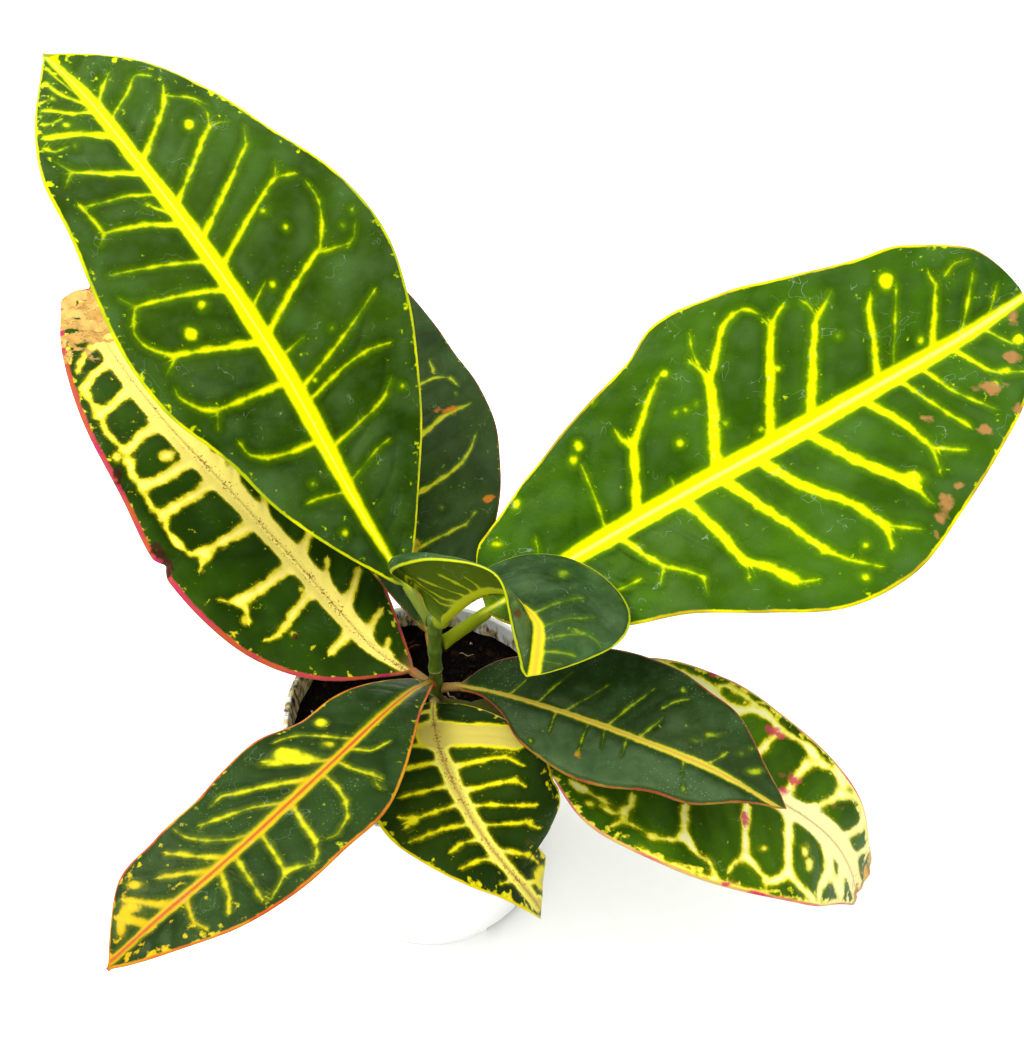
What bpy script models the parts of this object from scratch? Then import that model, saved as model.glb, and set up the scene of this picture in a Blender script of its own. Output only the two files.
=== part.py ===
# Potted croton: nine leaves on one short stem, in soil, in a plain white pot.
# Lengths are in millimetres and angles in degrees, and are turned to metres when a mesh is made.
# The origin is the centre of the pot's base, on the surface that it stands on.
# +Z is up, -Y is the front and +X is the right of the plant.

import math

import bmesh
import bpy
import numpy as np
from mathutils import Vector

MM = 0.001
GAP = 0.3                     # clear space between two pieces that touch on the real plant

# Pot
POT_HEIGHT = 102.0
POT_RIM_RADIUS = 52.5
POT_BASE_RADIUS = 46.0
POT_WALL = 1.2
RIM_BAND = 1.0                # how far the rounded rim stands out from the wall
RIM_BAND_HEIGHT = 4.0
FOOT_HEIGHT = 4.0
FOOT_RECESS = 0.9             # how far the foot ring stands in from the wall
FOOT_WIDTH = 1.7
FLOOR_LIFT = 4.3              # the ring of the floor that is raised clear of the surface
FLOOR_THICKNESS = 1.5
CENTRE_DISC = 28.0            # radius of the middle of the base, which stands on the surface
DISC_SLOPE = 2.5              # how far the floor's step leans outwards
DISC_WALL = 1.0               # how much smaller the step is inside the pot than under it
NOTCH_ANGLES = (318.0, 198.0, 78.0)
NOTCH_WIDTH = 28.0
NOTCH_DEPTH = 8.0
NOTCH_HEIGHT = 3.0
DRAIN_RADIUS = 4.5
DRAIN_CIRCLE = 36.5           # the drain holes lie on a circle of this radius
DRAIN_SIDES = 20
POT_SIDES = 48

# Soil
SOIL_TOP = 93.0
SOIL_SIDES = 48
SOIL_RINGS = 7
SOIL_BUMP = 0.8               # height of the unevenness on top
SOIL_WALL_DROP = 1.0          # how much lower the soil lies at the wall
SOIL_EDGE_DIP = 2.5           # the soil's edge is nowhere further below SOIL_TOP than this

# Stem
STEM_BASE = (4.6, 6.7)        # where it leaves the soil, seen from above
STEM_TOP = (7.0, 6.0)
STEM_TOP_Z = 146.0
STEM_BURIED = 28.0
STEM_RADIUS = 2.4
STEM_END_RADIUS = 1.6         # the buried end
STEM_TIP_RADIUS = 1.0
STEM_TIP_HEIGHT = 1.6
STEM_RING_STEP = 2.2
STEM_SIDES = 12
NODE_SWELL = 0.35             # how much the stem thickens under each petiole
NODE_SPREAD = 2.2

# Leaves
PETIOLE_RADIUS = 1.7
BLADE_THICKNESS = 0.7
KEEL_DEPTH = 1.3              # midrib below the blade, at its base
KEEL_HALF_WIDTH = 1.6
FOOT_LENGTH = 4.5             # where the petiole turns from an upright foot into a round stalk
FLAT_WIDTH = 4.0              # the blade's tip lies flat where it is narrower than this
HEM_START = 0.78              # share of the half width where a rolled margin starts to turn
SECTION_CELLS = 4             # cells from the midrib to each margin
BLADE_RINGS = 20

# Each leaf starts at a height on the stem and follows its midrib. These values run evenly from
# the petiole's base to the tip: heading is the way it points, seen from above and counted from
# +X towards +Y, rise is the angle above level, and roll lifts the right half. Half widths run
# evenly along the blade, and right is the right-hand side when looking from base to tip. fold
# lifts each half from the midrib, curl bends it on towards the margin, hem rolls the right margin
# under, and wave is the height of the margin's waves and their count.
LEAVES = {
    "leaf_1": dict(
        z=142, length=240, petiole=16, tip=0.02,
        heading=(138, 132, 144), rise=(49, 49, 36, 23), roll=(5, 10),
        left=(2, 16, 27, 34, 44, 46, 43, 38, 33, 21, 1),
        right=(2, 19, 33, 42, 50, 54, 51, 42, 34, 22, 1),
        fold=((14,), (14,)), curl=((-12,), (-12,)), wave=(1.2, 3.0)),
    "leaf_2": dict(
        z=131, length=240, petiole=21, base=0.05, tip=0.04,
        heading=(17, 14, 31), rise=(33, 30, 23, 12), roll=(-17, -30),
        left=(20, 27, 37, 44, 51, 56, 52, 45, 39, 32, 17),
        right=(8, 22, 33, 42, 54, 62, 62, 52, 41, 28, 6),
        fold=((14,), (14,)), curl=((-12,), (-12,)), wave=(1.4, 3.5)),
    "leaf_3": dict(
        z=107, length=233, petiole=8, tip=0.04,
        heading=(156, 139, 109), rise=(27, 40, 13, -4), roll=(0, 0),
        left=(2, 26, 40, 43, 40, 34, 28, 22, 18, 14, 9),
        right=(2, 18, 28, 29, 28, 26, 24, 20, 16, 12, 6),
        fold=((11,), (11,)), curl=((-10,), (-10,)), wave=(1.0, 4.0),
        notch=("left", 0.39, 0.02, 3)),
    "leaf_4": dict(
        z=120, length=179, petiole=10, tip=0.02,
        heading=(103, 94, 104), rise=(31, 24, 16, 6), roll=(-6, -2),
        left=(2, 14, 24, 27, 27, 26, 24, 20, 14, 7, 0),
        right=(2, 20, 29, 34, 35, 33, 28, 21, 14, 7, 0),
        fold=((14,), (14,)), curl=((-12,), (-12,)), wave=(1.2, 3.0)),
    "leaf_5": dict(
        z=111, length=162, petiole=5, tip=0.03,
        heading=(251, 238, 219), rise=(54, 15, 5, -18), roll=(4, -4),
        left=(2, 6, 10, 16, 22, 26, 26, 24, 20, 11, 1),
        right=(2, 9, 13, 18, 20, 24, 24, 22, 20, 16, 1),
        fold=((11,), (11,)), curl=((-10,), (-10,)), wave=(0.8, 4.0)),
    "leaf_6": dict(
        z=101, length=112, petiole=7, tip=0.03,
        heading=(267, 296, 349), rise=(46, 3, -33, -70), roll=(0, 0),
        left=(2, 14, 24, 30, 33, 34, 33, 30, 19, 13, 3),
        right=(2, 14, 24, 29, 29, 26, 21, 14, 9, 5, 1),
        fold=((11,), (11,)), curl=((-10,), (-10,)), wave=(0.8, 3.0),
        notch=("left", 0.77, 0.03, 9)),
    "leaf_7": dict(
        z=107, length=139, petiole=10, tip=0.03,
        heading=(332, 327, 327), rise=(37, 14, 7, -9), roll=(-12, -1),
        left=(2, 11, 17, 24, 27, 29, 29, 25, 21, 11, 1),
        right=(2, 4, 10, 19, 23, 25, 24, 19, 16, 7, 1),
        fold=((11,), (11,)), curl=((-10,), (-10,)), wave=(0.7, 3.0)),
    "leaf_8": dict(
        z=98, length=196, petiole=12, tip=0.04,
        heading=(335, 342, 339), rise=(19, 2, -24, -84), roll=(0, -13),
        left=(2, 9, 20, 30, 35, 35, 30, 26, 23, 16, 12),
        right=(2, 8, 17, 31, 39, 42, 41, 35, 26, 14, 3),
        fold=((11,), (11,)), curl=((-10,), (-10,)), wave=(1.0, 4.0)),
    "leaf_9": dict(
        z=147, length=72, petiole=6, tip=0.03, cells=9, hem=(120, 130, 40, 0, 0),
        heading=(300, 348, 332, 277, 254), rise=(54, 50, 20, -12, -40), roll=(20, 31, 14, 2),
        left=(2, 7, 13, 19, 26, 31, 34, 35, 29, 16, 1),
        right=(2, 27, 35, 31, 22, 18, 17, 15, 11, 6, 1),
        fold=((40, 25, 10, 5), (84, 64, 45, 43)), curl=((0, -5, -15, -17), (-22, -20, 4, 6)),
        wave=(0.3, 2.0)),
}


def clear_scene():
    for old in list(bpy.data.objects):
        bpy.data.objects.remove(old, do_unlink=True)


def material(name, colour, roughness):
    """A plain Principled material; colour is linear red, green, blue."""
    finish = bpy.data.materials.new(name)
    finish.use_nodes = True
    shader = finish.node_tree.nodes["Principled BSDF"]
    shader.inputs["Base Color"].default_value = (*colour, 1.0)
    shader.inputs["Roughness"].default_value = roughness
    shader.inputs["Metallic"].default_value = 0.0
    finish.diffuse_color = (*colour, 1.0)
    return finish


def add_object(name, bm, finish, smooth_angle=35.0):
    """Turn a bmesh in millimetres into a named object in metres."""
    bmesh.ops.scale(bm, vec=(MM, MM, MM), verts=bm.verts)
    bmesh.ops.recalc_face_normals(bm, faces=bm.faces)
    mesh = bpy.data.meshes.new(name)
    bm.to_mesh(mesh)
    bm.free()
    mesh.materials.append(finish)
    mesh.shade_smooth()
    mesh.set_sharp_from_angle(angle=math.radians(smooth_angle))
    piece = bpy.data.objects.new(name, mesh)
    bpy.context.collection.objects.link(piece)
    return piece


def add_ring(bm, centre, radius, z, sides):
    """A ring of points round a vertical axis through centre."""
    turns = [math.tau * side / sides for side in range(sides)]
    return [bm.verts.new((centre[0] + radius * math.cos(turn), centre[1] + radius * math.sin(turn), z))
            for turn in turns]


def join_rings(bm, rings):
    """Faces between each ring and the next."""
    for lower, upper in zip(rings, rings[1:]):
        for side in range(len(lower)):
            after = (side + 1) % len(lower)
            bm.faces.new((lower[side], lower[after], upper[after], upper[side]))


def turned(profile, sides):
    """Spin a closed (radius, height) profile around Z."""
    bm = bmesh.new()
    points = [bm.verts.new((radius, 0.0, height)) for radius, height in profile]
    edges = [bm.edges.new(pair) for pair in zip(points, points[1:])]
    bmesh.ops.spin(bm, geom=points + edges, cent=(0, 0, 0), axis=(0, 0, 1),
                   angle=math.tau, steps=sides, use_merge=True)
    bmesh.ops.remove_doubles(bm, verts=bm.verts, dist=0.001)
    return bm


# Pot
def pot_outer_radius(z):
    return POT_BASE_RADIUS + (POT_RIM_RADIUS - RIM_BAND - POT_BASE_RADIUS) * z / POT_HEIGHT


def pot_inner_radius(z):
    return pot_outer_radius(z) - POT_WALL


def pot_profile():
    """From the middle of the underside, up the outside, over the rim and down to the middle."""
    band_bottom = POT_HEIGHT - RIM_BAND_HEIGHT
    foot_radius = pot_outer_radius(0) - FOOT_RECESS
    floor_top = FLOOR_LIFT + FLOOR_THICKNESS
    return [
        (0.0, 0.0),
        (CENTRE_DISC, 0.0),
        (CENTRE_DISC + DISC_SLOPE, FLOOR_LIFT),
        (foot_radius - FOOT_WIDTH, FLOOR_LIFT),
        (foot_radius - FOOT_WIDTH, 0.0),
        (foot_radius, 0.0),
        (foot_radius, FOOT_HEIGHT),
        (pot_outer_radius(FOOT_HEIGHT), FOOT_HEIGHT + 0.5),
        (pot_outer_radius(band_bottom), band_bottom),
        (POT_RIM_RADIUS - 0.2, band_bottom + 0.8),
        (POT_RIM_RADIUS, POT_HEIGHT - 1.0),
        (POT_RIM_RADIUS - 0.5, POT_HEIGHT),
        (pot_inner_radius(POT_HEIGHT) + 0.4, POT_HEIGHT),
        (pot_inner_radius(POT_HEIGHT), POT_HEIGHT - 0.6),
        (pot_inner_radius(floor_top), floor_top),
        (CENTRE_DISC + DISC_SLOPE - DISC_WALL, floor_top),
        (CENTRE_DISC - DISC_WALL, FLOOR_THICKNESS),
        (0.0, FLOOR_THICKNESS),
    ]


def cutter(name, bm):
    piece = add_object(name, bm, material(name, (1, 0, 0), 0.5))
    piece.hide_render = True
    piece.display_type = "WIRE"
    return piece


def notch_cutters():
    """Boxes that cut the drainage notches out of the foot."""
    for index, angle in enumerate(NOTCH_ANGLES, start=1):
        bm = bmesh.new()
        bmesh.ops.create_cube(bm, size=1.0)
        bmesh.ops.scale(bm, vec=(NOTCH_DEPTH, NOTCH_WIDTH, 2 * NOTCH_HEIGHT), verts=bm.verts)
        piece = cutter(f"notch_cutter_{index}", bm)
        turn = math.radians(angle)
        reach = (pot_outer_radius(0) - FOOT_RECESS - FOOT_WIDTH) * MM
        piece.location = (reach * math.cos(turn), reach * math.sin(turn), 0.0)
        piece.rotation_euler = (0.0, 0.0, turn)
        yield piece


def drain_cutters():
    """Rods that cut a drain hole through the raised floor behind each notch."""
    for index, angle in enumerate(NOTCH_ANGLES, start=1):
        turn = math.radians(angle)
        x, y = DRAIN_CIRCLE * math.cos(turn), DRAIN_CIRCLE * math.sin(turn)
        bm = bmesh.new()
        bmesh.ops.create_cone(bm, cap_ends=True, segments=DRAIN_SIDES, radius1=DRAIN_RADIUS,
                              radius2=DRAIN_RADIUS, depth=4 * FLOOR_THICKNESS)
        piece = cutter(f"drain_cutter_{index}", bm)
        piece.location = (x * MM, y * MM, (FLOOR_LIFT + FLOOR_THICKNESS / 2) * MM)
        yield piece


def make_pot():
    bm = turned(pot_profile(), POT_SIDES)
    pot = add_object("pot", bm, material("white_plastic", (0.86, 0.86, 0.85), 0.35))
    for tool in [*notch_cutters(), *drain_cutters()]:
        cut = pot.modifiers.new(tool.name, "BOOLEAN")
        cut.operation = "DIFFERENCE"
        cut.solver = "EXACT"
        cut.object = tool
    return pot


# Soil
def soil_height(x, y):
    """The uneven top of the soil, a little lower at the wall."""
    bumps = (math.sin(x * 0.21 + 1.0) * math.cos(y * 0.17) + 0.6 * math.sin(x * 0.43 - y * 0.38)
             + 0.5 * math.cos(y * 0.52 + x * 0.12))
    reach = math.hypot(x, y) / POT_RIM_RADIUS
    return SOIL_TOP + SOIL_BUMP * bumps - SOIL_WALL_DROP * reach ** 4


def make_soil():
    """A filled cone with a bumpy top, a plain hole for the stem and a step that follows the floor."""
    bm = bmesh.new()
    hole = STEM_RADIUS + NODE_SWELL + GAP
    edge = pot_inner_radius(SOIL_TOP - SOIL_EDGE_DIP) - GAP
    floor_z = FLOOR_LIFT + FLOOR_THICKNESS + GAP
    rings = [add_ring(bm, STEM_BASE, hole, SOIL_TOP - STEM_BURIED - GAP, SOIL_SIDES)]
    bm.faces.new(rings[0])
    for ring in range(SOIL_RINGS + 1):
        share = ring / SOIL_RINGS
        centre = [place * (1 - share) for place in STEM_BASE]
        rings.append(add_ring(bm, centre, hole + (edge - hole) * share, SOIL_TOP, SOIL_SIDES))
        for point in rings[-1]:
            point.co.z = soil_height(point.co.x, point.co.y)
    rings.append(add_ring(bm, (0, 0), pot_inner_radius(floor_z) - GAP, floor_z, SOIL_SIDES))
    step = CENTRE_DISC - DISC_WALL - GAP
    rings.append(add_ring(bm, (0, 0), step + DISC_SLOPE, floor_z, SOIL_SIDES))
    rings.append(add_ring(bm, (0, 0), step, FLOOR_THICKNESS + GAP, SOIL_SIDES))
    bm.faces.new(rings[-1])
    join_rings(bm, rings)
    bmesh.ops.triangulate(bm, faces=bm.faces)
    return add_object("soil", bm, material("potting_soil", (0.02, 0.014, 0.01), 0.95), 60.0)


# Stem
def stem_axis(z):
    """The stem's centre at a height."""
    share = (z - SOIL_TOP) / (STEM_TOP_Z - SOIL_TOP)
    share = max(share, 0.0)
    return (STEM_BASE[0] + (STEM_TOP[0] - STEM_BASE[0]) * share,
            STEM_BASE[1] + (STEM_TOP[1] - STEM_BASE[1]) * share)


def stem_radius(z):
    """The stem's radius, thicker at each leaf's node."""
    swell = sum(math.exp(-((z - leaf["z"] + 2.5) / NODE_SPREAD) ** 2) for leaf in LEAVES.values())
    return STEM_RADIUS + NODE_SWELL * min(swell, 1.0)


def make_stem():
    """A round stem with a narrower buried end and a blunt tip."""
    bm = bmesh.new()
    bottom = SOIL_TOP - STEM_BURIED
    outline = [(bottom, STEM_END_RADIUS), (bottom + STEM_END_RADIUS, STEM_RADIUS)]
    for z in [*np.arange(SOIL_TOP - STEM_RING_STEP, STEM_TOP_Z, STEM_RING_STEP), STEM_TOP_Z]:
        outline.append((z, stem_radius(z)))
    outline.append((STEM_TOP_Z + STEM_TIP_HEIGHT, STEM_TIP_RADIUS))
    rings = [add_ring(bm, stem_axis(z), radius, z, STEM_SIDES) for z, radius in outline]
    join_rings(bm, rings)
    bm.faces.new(rings[0])
    bm.faces.new(rings[-1])
    return add_object("stem", bm, material("green_stem", (0.05, 0.13, 0.02), 0.5))


# Leaves
def through(values, share):
    """A smooth curve through evenly spaced values, read at a share from 0 to 1."""
    values = np.asarray(values, float)
    last = len(values) - 1
    if last == 0:
        return float(values[0])
    place = min(max(share, 0.0), 1.0) * last
    cell = min(int(place), last - 1)
    t = place - cell
    start, end = values[cell], values[cell + 1]
    before = values[cell - 1] if cell > 0 else 2 * start - end
    after = values[cell + 2] if cell + 2 <= last else 2 * end - start
    return float(0.5 * (2 * start + (end - before) * t
                        + (2 * before - 5 * start + 4 * end - after) * t ** 2
                        + (3 * start - before - 3 * end + after) * t ** 3))


def blend(low, high, value):
    """A smooth step from 0 at low to 1 at high."""
    t = min(max((value - low) / (high - low), 0.0), 1.0)
    return t * t * (3 - 2 * t)


def leaf_frame(leaf, share):
    """The midrib's direction, the way to the right margin and the way up, at a share of its length."""
    heading = math.radians(through(leaf["heading"], share))
    rise = math.radians(through(leaf["rise"], share))
    roll = math.radians(through(leaf["roll"], share))
    along = Vector((math.cos(rise) * math.cos(heading), math.cos(rise) * math.sin(heading),
                    math.sin(rise)))
    level = Vector((math.sin(heading), -math.cos(heading), 0.0))
    upright = level.cross(along)
    side = level * math.cos(roll) + upright * math.sin(roll)
    return along, side, side.cross(along)


def leaf_shares(leaf):
    """Shares of the leaf's length where it has a ring: the petiole, the blade, its tip and a notch."""
    start = leaf["petiole"] / leaf["length"]
    blade = [index / BLADE_RINGS for index in range(BLADE_RINGS)]
    blade += [1 - leaf["tip"] * part for part in (0.7, 0.35, 0.1, 0.0)]
    if "notch" in leaf:
        _, place, half, _ = leaf["notch"]
        near = [place - half, place, place + half]
        blade = [u for u in blade if min(abs(u - point) for point in near) > half * 0.6] + near
    petiole = [start * part for part in (0.0, 0.12, 0.3, 0.65)]
    return petiole + sorted(start + (1 - start) * u for u in blade if 0.0 <= u <= 1.0)


def half_width(leaf, side_name, u):
    """The blade's width from the midrib to one margin, rounded off at the base and the tip."""
    rest = min(max((1 - u) / leaf["tip"], 0.0), 1.0)
    begun = min(max(u / leaf.get("base", 0.01), 0.0), 1.0)
    width = through(leaf[side_name], u) * math.sqrt(1 - (1 - rest) ** 2)
    width *= math.sqrt(1 - (1 - begun) ** 2)
    if "notch" in leaf and leaf["notch"][0] == side_name:
        _, place, half, depth = leaf["notch"]
        width -= depth * max(0.0, 1 - abs(u - place) / half)
    return max(width, 0.35)


def section(leaf, share, width, direction, side, up, body):
    """Points from the midrib out to one margin, each with the way up from the blade there."""
    index = 0 if direction < 0 else 1
    open_up = body * min(1.0, width / FLAT_WIDTH)
    fold = math.radians(through(leaf["fold"][index], share)) * open_up
    curl = math.radians(through(leaf["curl"][index], share)) * open_up
    cells = leaf.get("cells", SECTION_CELLS)
    first = min(KEEL_HALF_WIDTH, 0.3 * width)
    reach = [0.0] + [first + (width - first) * step / (cells - 1) for step in range(cells)]
    hem = 0.0
    if direction > 0 and "hem" in leaf:
        hem = math.radians(through(leaf["hem"], share)) * open_up
    height, count = leaf["wave"]
    start = leaf["petiole"] / leaf["length"]
    u = max(0.0, (share - start) / (1 - start))
    swing = height * body * math.sin(math.tau * count * u + (0.0 if direction < 0 else 2.0))
    points = []
    across, lift = 0.0, 0.0
    for near, far in zip([0.0] + reach, reach):
        middle = (near + far) / 2 / width
        angle = fold + curl * middle - hem * blend(HEM_START, 1.0, middle)
        across += (far - near) * math.cos(angle)
        lift += (far - near) * math.sin(angle)
        tangent = fold + curl * far / width - hem * blend(HEM_START, 1.0, far / width)
        normal = up * math.cos(tangent) - side * direction * math.sin(tangent)
        wave = swing * (far / width) ** 2
        points.append((far, side * direction * across + up * (lift + wave), normal))
    return points


def leaf_ring(leaf, share, origin):
    """The top and bottom rows of one cross-section, from the left margin to the right."""
    along, side, up = leaf_frame(leaf, share)
    start = leaf["petiole"] / leaf["length"]
    u = (share - start) / (1 - start)
    body = blend(-0.02, 0.05, u)
    if share < start:
        left = right = PETIOLE_RADIUS
    else:
        left = max(half_width(leaf, "left", u), PETIOLE_RADIUS * (1 - body))
        right = max(half_width(leaf, "right", u), PETIOLE_RADIUS * (1 - body))
    foot = 1 - blend(0.0, FOOT_LENGTH / leaf["length"], share)
    if foot > 0:
        rise = math.radians(through(leaf["rise"], share))
        up = up.lerp(Vector((0.0, 0.0, 1.0 / math.cos(rise))), foot)
    top, bottom = [], []
    keel = KEEL_DEPTH * (1 - 0.75 * max(u, 0.0))
    for direction, width in ((-1, left), (1, right)):
        rows = section(leaf, share, width, direction, side, up, body)
        if direction < 0:
            rows = rows[::-1][:-1]
        for reach, offset, normal in rows:
            round_height = PETIOLE_RADIUS * math.sqrt(1 - 0.96 * min(reach / width, 1.0) ** 2)
            half = BLADE_THICKNESS / 2
            rib = keel * math.exp(-(reach / KEEL_HALF_WIDTH) ** 2) * blend(0, 3, left + right)
            above = round_height * (1 - body) + half * body
            below = round_height * (1 - body) + (half + rib) * body
            if foot > 0:
                normal = up
            top.append(origin + offset + normal * above)
            bottom.append(origin + offset - normal * below)
    return top, bottom


def midrib_points(leaf, shares):
    """The midrib's place at each share, walked in small steps from the stem's surface."""
    x, y = stem_axis(leaf["z"])
    heading = math.radians(leaf["heading"][0])
    reach = STEM_RADIUS + NODE_SWELL + GAP
    place = Vector((x + reach * math.cos(heading), y + reach * math.sin(heading), leaf["z"]))
    points = []
    walked = 0.0
    step = 1 / 400
    for share in shares:
        while walked < share - 1e-9:
            stride = min(step, share - walked)
            along, _, _ = leaf_frame(leaf, walked + stride / 2)
            place = place + along * (stride * leaf["length"])
            walked += stride
        points.append(place.copy())
    return points


def make_leaf(name, leaf, finish):
    """One closed mesh: rings from the petiole's base to the tip, and a cap at each end."""
    bm = bmesh.new()
    shares = leaf_shares(leaf)
    rings = []
    for share, origin in zip(shares, midrib_points(leaf, shares)):
        rings.append([[bm.verts.new(point) for point in row]
                      for row in leaf_ring(leaf, share, origin)])
    for (top_a, bottom_a), (top_b, bottom_b) in zip(rings, rings[1:]):
        for k in range(len(top_a) - 1):
            for a, b in ((top_a, top_b), (bottom_a, bottom_b)):
                bm.faces.new((a[k], a[k + 1], b[k + 1]))
                bm.faces.new((a[k], b[k + 1], b[k]))
        for k in (0, -1):
            bm.faces.new((top_a[k], bottom_a[k], bottom_b[k], top_b[k]))
    for top, bottom in (rings[0], rings[-1]):
        for k in range(len(top) - 1):
            bm.faces.new((top[k], top[k + 1], bottom[k + 1], bottom[k]))
    bmesh.ops.triangulate(bm, faces=[face for face in bm.faces if len(face.verts) == 4])
    return add_object(name, bm, finish, 50.0)


clear_scene()
make_pot()
make_soil()
make_stem()
for leaf_name, leaf_values in LEAVES.items():
    green = material(leaf_name + "_blade", (0.03, 0.12, 0.02), 0.4)
    make_leaf(leaf_name, leaf_values, green)
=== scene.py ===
# %% [markdown]
# A potted croton, dressed for the camera.
#
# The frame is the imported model: a white pot, the soil in it, one short stem and nine leaves, all
# solid and all at their real size. This lesson gives each of them its real surface. The leaves are
# the heart of it, because a croton is known by the yellow drawing on its dark leaves.

# %% The frame
import math

import bmesh
import bpy
import numpy as np
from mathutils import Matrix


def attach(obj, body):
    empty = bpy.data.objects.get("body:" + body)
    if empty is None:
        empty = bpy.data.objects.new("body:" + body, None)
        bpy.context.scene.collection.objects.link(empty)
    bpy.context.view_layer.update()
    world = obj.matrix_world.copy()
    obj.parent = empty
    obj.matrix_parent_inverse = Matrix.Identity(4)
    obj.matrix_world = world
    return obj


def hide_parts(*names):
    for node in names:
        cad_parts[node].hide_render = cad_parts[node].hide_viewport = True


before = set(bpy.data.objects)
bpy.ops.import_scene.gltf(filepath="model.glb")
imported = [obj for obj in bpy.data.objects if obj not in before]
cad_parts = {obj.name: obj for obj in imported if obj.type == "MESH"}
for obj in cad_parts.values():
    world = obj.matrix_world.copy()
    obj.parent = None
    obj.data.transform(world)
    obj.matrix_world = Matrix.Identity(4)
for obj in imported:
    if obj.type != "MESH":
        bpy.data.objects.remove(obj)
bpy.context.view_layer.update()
MM = 0.001


def settle(piece, finish, node=None):
    """Give a piece its finish and slot on the plant's one body; it may stand for a CAD node."""
    if finish:
        piece.data.materials.append(finish)
    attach(piece, "root")
    if node:
        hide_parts(node)
    print(piece.name, len(piece.data.polygons), "faces")


print("frame:", sorted(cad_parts))

# %% [markdown]
# Two small helpers serve every finish. One turns an sRGB hex colour, as a paint chart gives it, into
# the linear numbers that the renderer wants. The other adds one node with its settings and links.
# A link may be a number, a colour, a socket or a node, and a node stands for its first live output.
# Most nodes are shader nodes, so Mix is short for ShaderNodeMix, and here it always mixes colours.


# %% Colours and nodes
def linear(hex_colour):
    """An sRGB colour such as #1c4d10 as linear red, green, blue and alpha."""
    channels = [int(hex_colour[k:k + 2], 16) / 255 for k in (1, 3, 5)]
    return (*[c / 12.92 if c <= 0.04045 else ((c + 0.055) / 1.055) ** 2.4 for c in channels], 1.0)


def add(tree, kind, links=None, **settings):
    """Add one node to a tree, with its settings and what feeds its inputs."""
    made = tree.nodes.new(kind if "Node" in kind else "ShaderNode" + kind)
    if kind == "Mix":
        made.data_type = "RGBA"
    for key, value in settings.items():
        setattr(made, key, value)
    for key, value in (links or {}).items():
        if isinstance(value, bpy.types.Node):
            value = next(socket for socket in value.outputs if socket.enabled)
        if isinstance(value, bpy.types.NodeSocket):
            tree.links.new(value, made.inputs[key])
        else:
            made.inputs[key].default_value = value
    return made


def new_finish(name):
    """An empty material with its Principled shader."""
    finish = bpy.data.materials.new(name)
    finish.use_nodes = True
    return finish, finish.node_tree, finish.node_tree.nodes["Principled BSDF"]


# %% [markdown]
# The camera comes before the leaves, because the drawing on each leaf is placed through it. It looks
# down at the plant from the front. The picture is 1024 by 1049 pixels, and the lens is given in
# pixels too, so that a place in the picture and a ray from the camera are one simple sum apart.

# %% Camera values
PICTURE = (1024, 1049)
LENS_PIXELS = 1130.0
CAMERA_PLACE = np.array([35.0, -260.6, 449.3])
CAMERA_PITCH = 44.0
CAMERA_ROLL = -0.69

pitch, roll = math.radians(CAMERA_PITCH), math.radians(CAMERA_ROLL)
look = np.array([0.0, math.cos(pitch), -math.sin(pitch)])
level_right = np.array([1.0, 0.0, 0.0])
level_up = np.cross(level_right, look)
view_right = math.cos(roll) * level_right + math.sin(roll) * level_up
view_up = math.cos(roll) * level_up - math.sin(roll) * level_right


def to_picture(points):
    """Where points in millimetres fall in the picture."""
    ray = points - CAMERA_PLACE
    depth = ray @ look
    across = PICTURE[0] / 2 + LENS_PIXELS * (ray @ view_right) / depth
    down = PICTURE[1] / 2 - LENS_PIXELS * (ray @ view_up) / depth
    return np.stack([across, down], -1)


print("camera at", CAMERA_PLACE, "mm, looking down", CAMERA_PITCH, "degrees")

# %% [markdown]
# A croton leaf is a thick, leathery blade on a round stalk. It could be sculpted or cut from a flat
# sheet, but a leaf grows by a rule: its midrib bends through the air, and the blade folds up from it
# on both sides. So the leaf is grown here. The values are the model's own. Heading, rise and roll
# steer the midrib, the half widths give the outline, fold and curl shape the cross-section, hem
# rolls a margin under, and wave lifts the margin a little.

# %% How each leaf grows
STEM_RADIUS, NODE_SWELL, NODE_SPREAD, STEM_GAP = 2.4, 0.35, 2.2, 0.3
STEM_BASE, STEM_TOP = np.array([4.6, 6.7]), np.array([7.0, 6.0])
SOIL_TOP, STEM_TOP_Z = 93.0, 146.0
PETIOLE_RADIUS, BLADE_THICKNESS, FLAT_WIDTH, HEM_START = 1.7, 0.7, 4.0, 0.78
KEEL_DEPTH, KEEL_HALF_WIDTH, FOOT_LENGTH = 1.3, 1.6, 4.5

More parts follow.
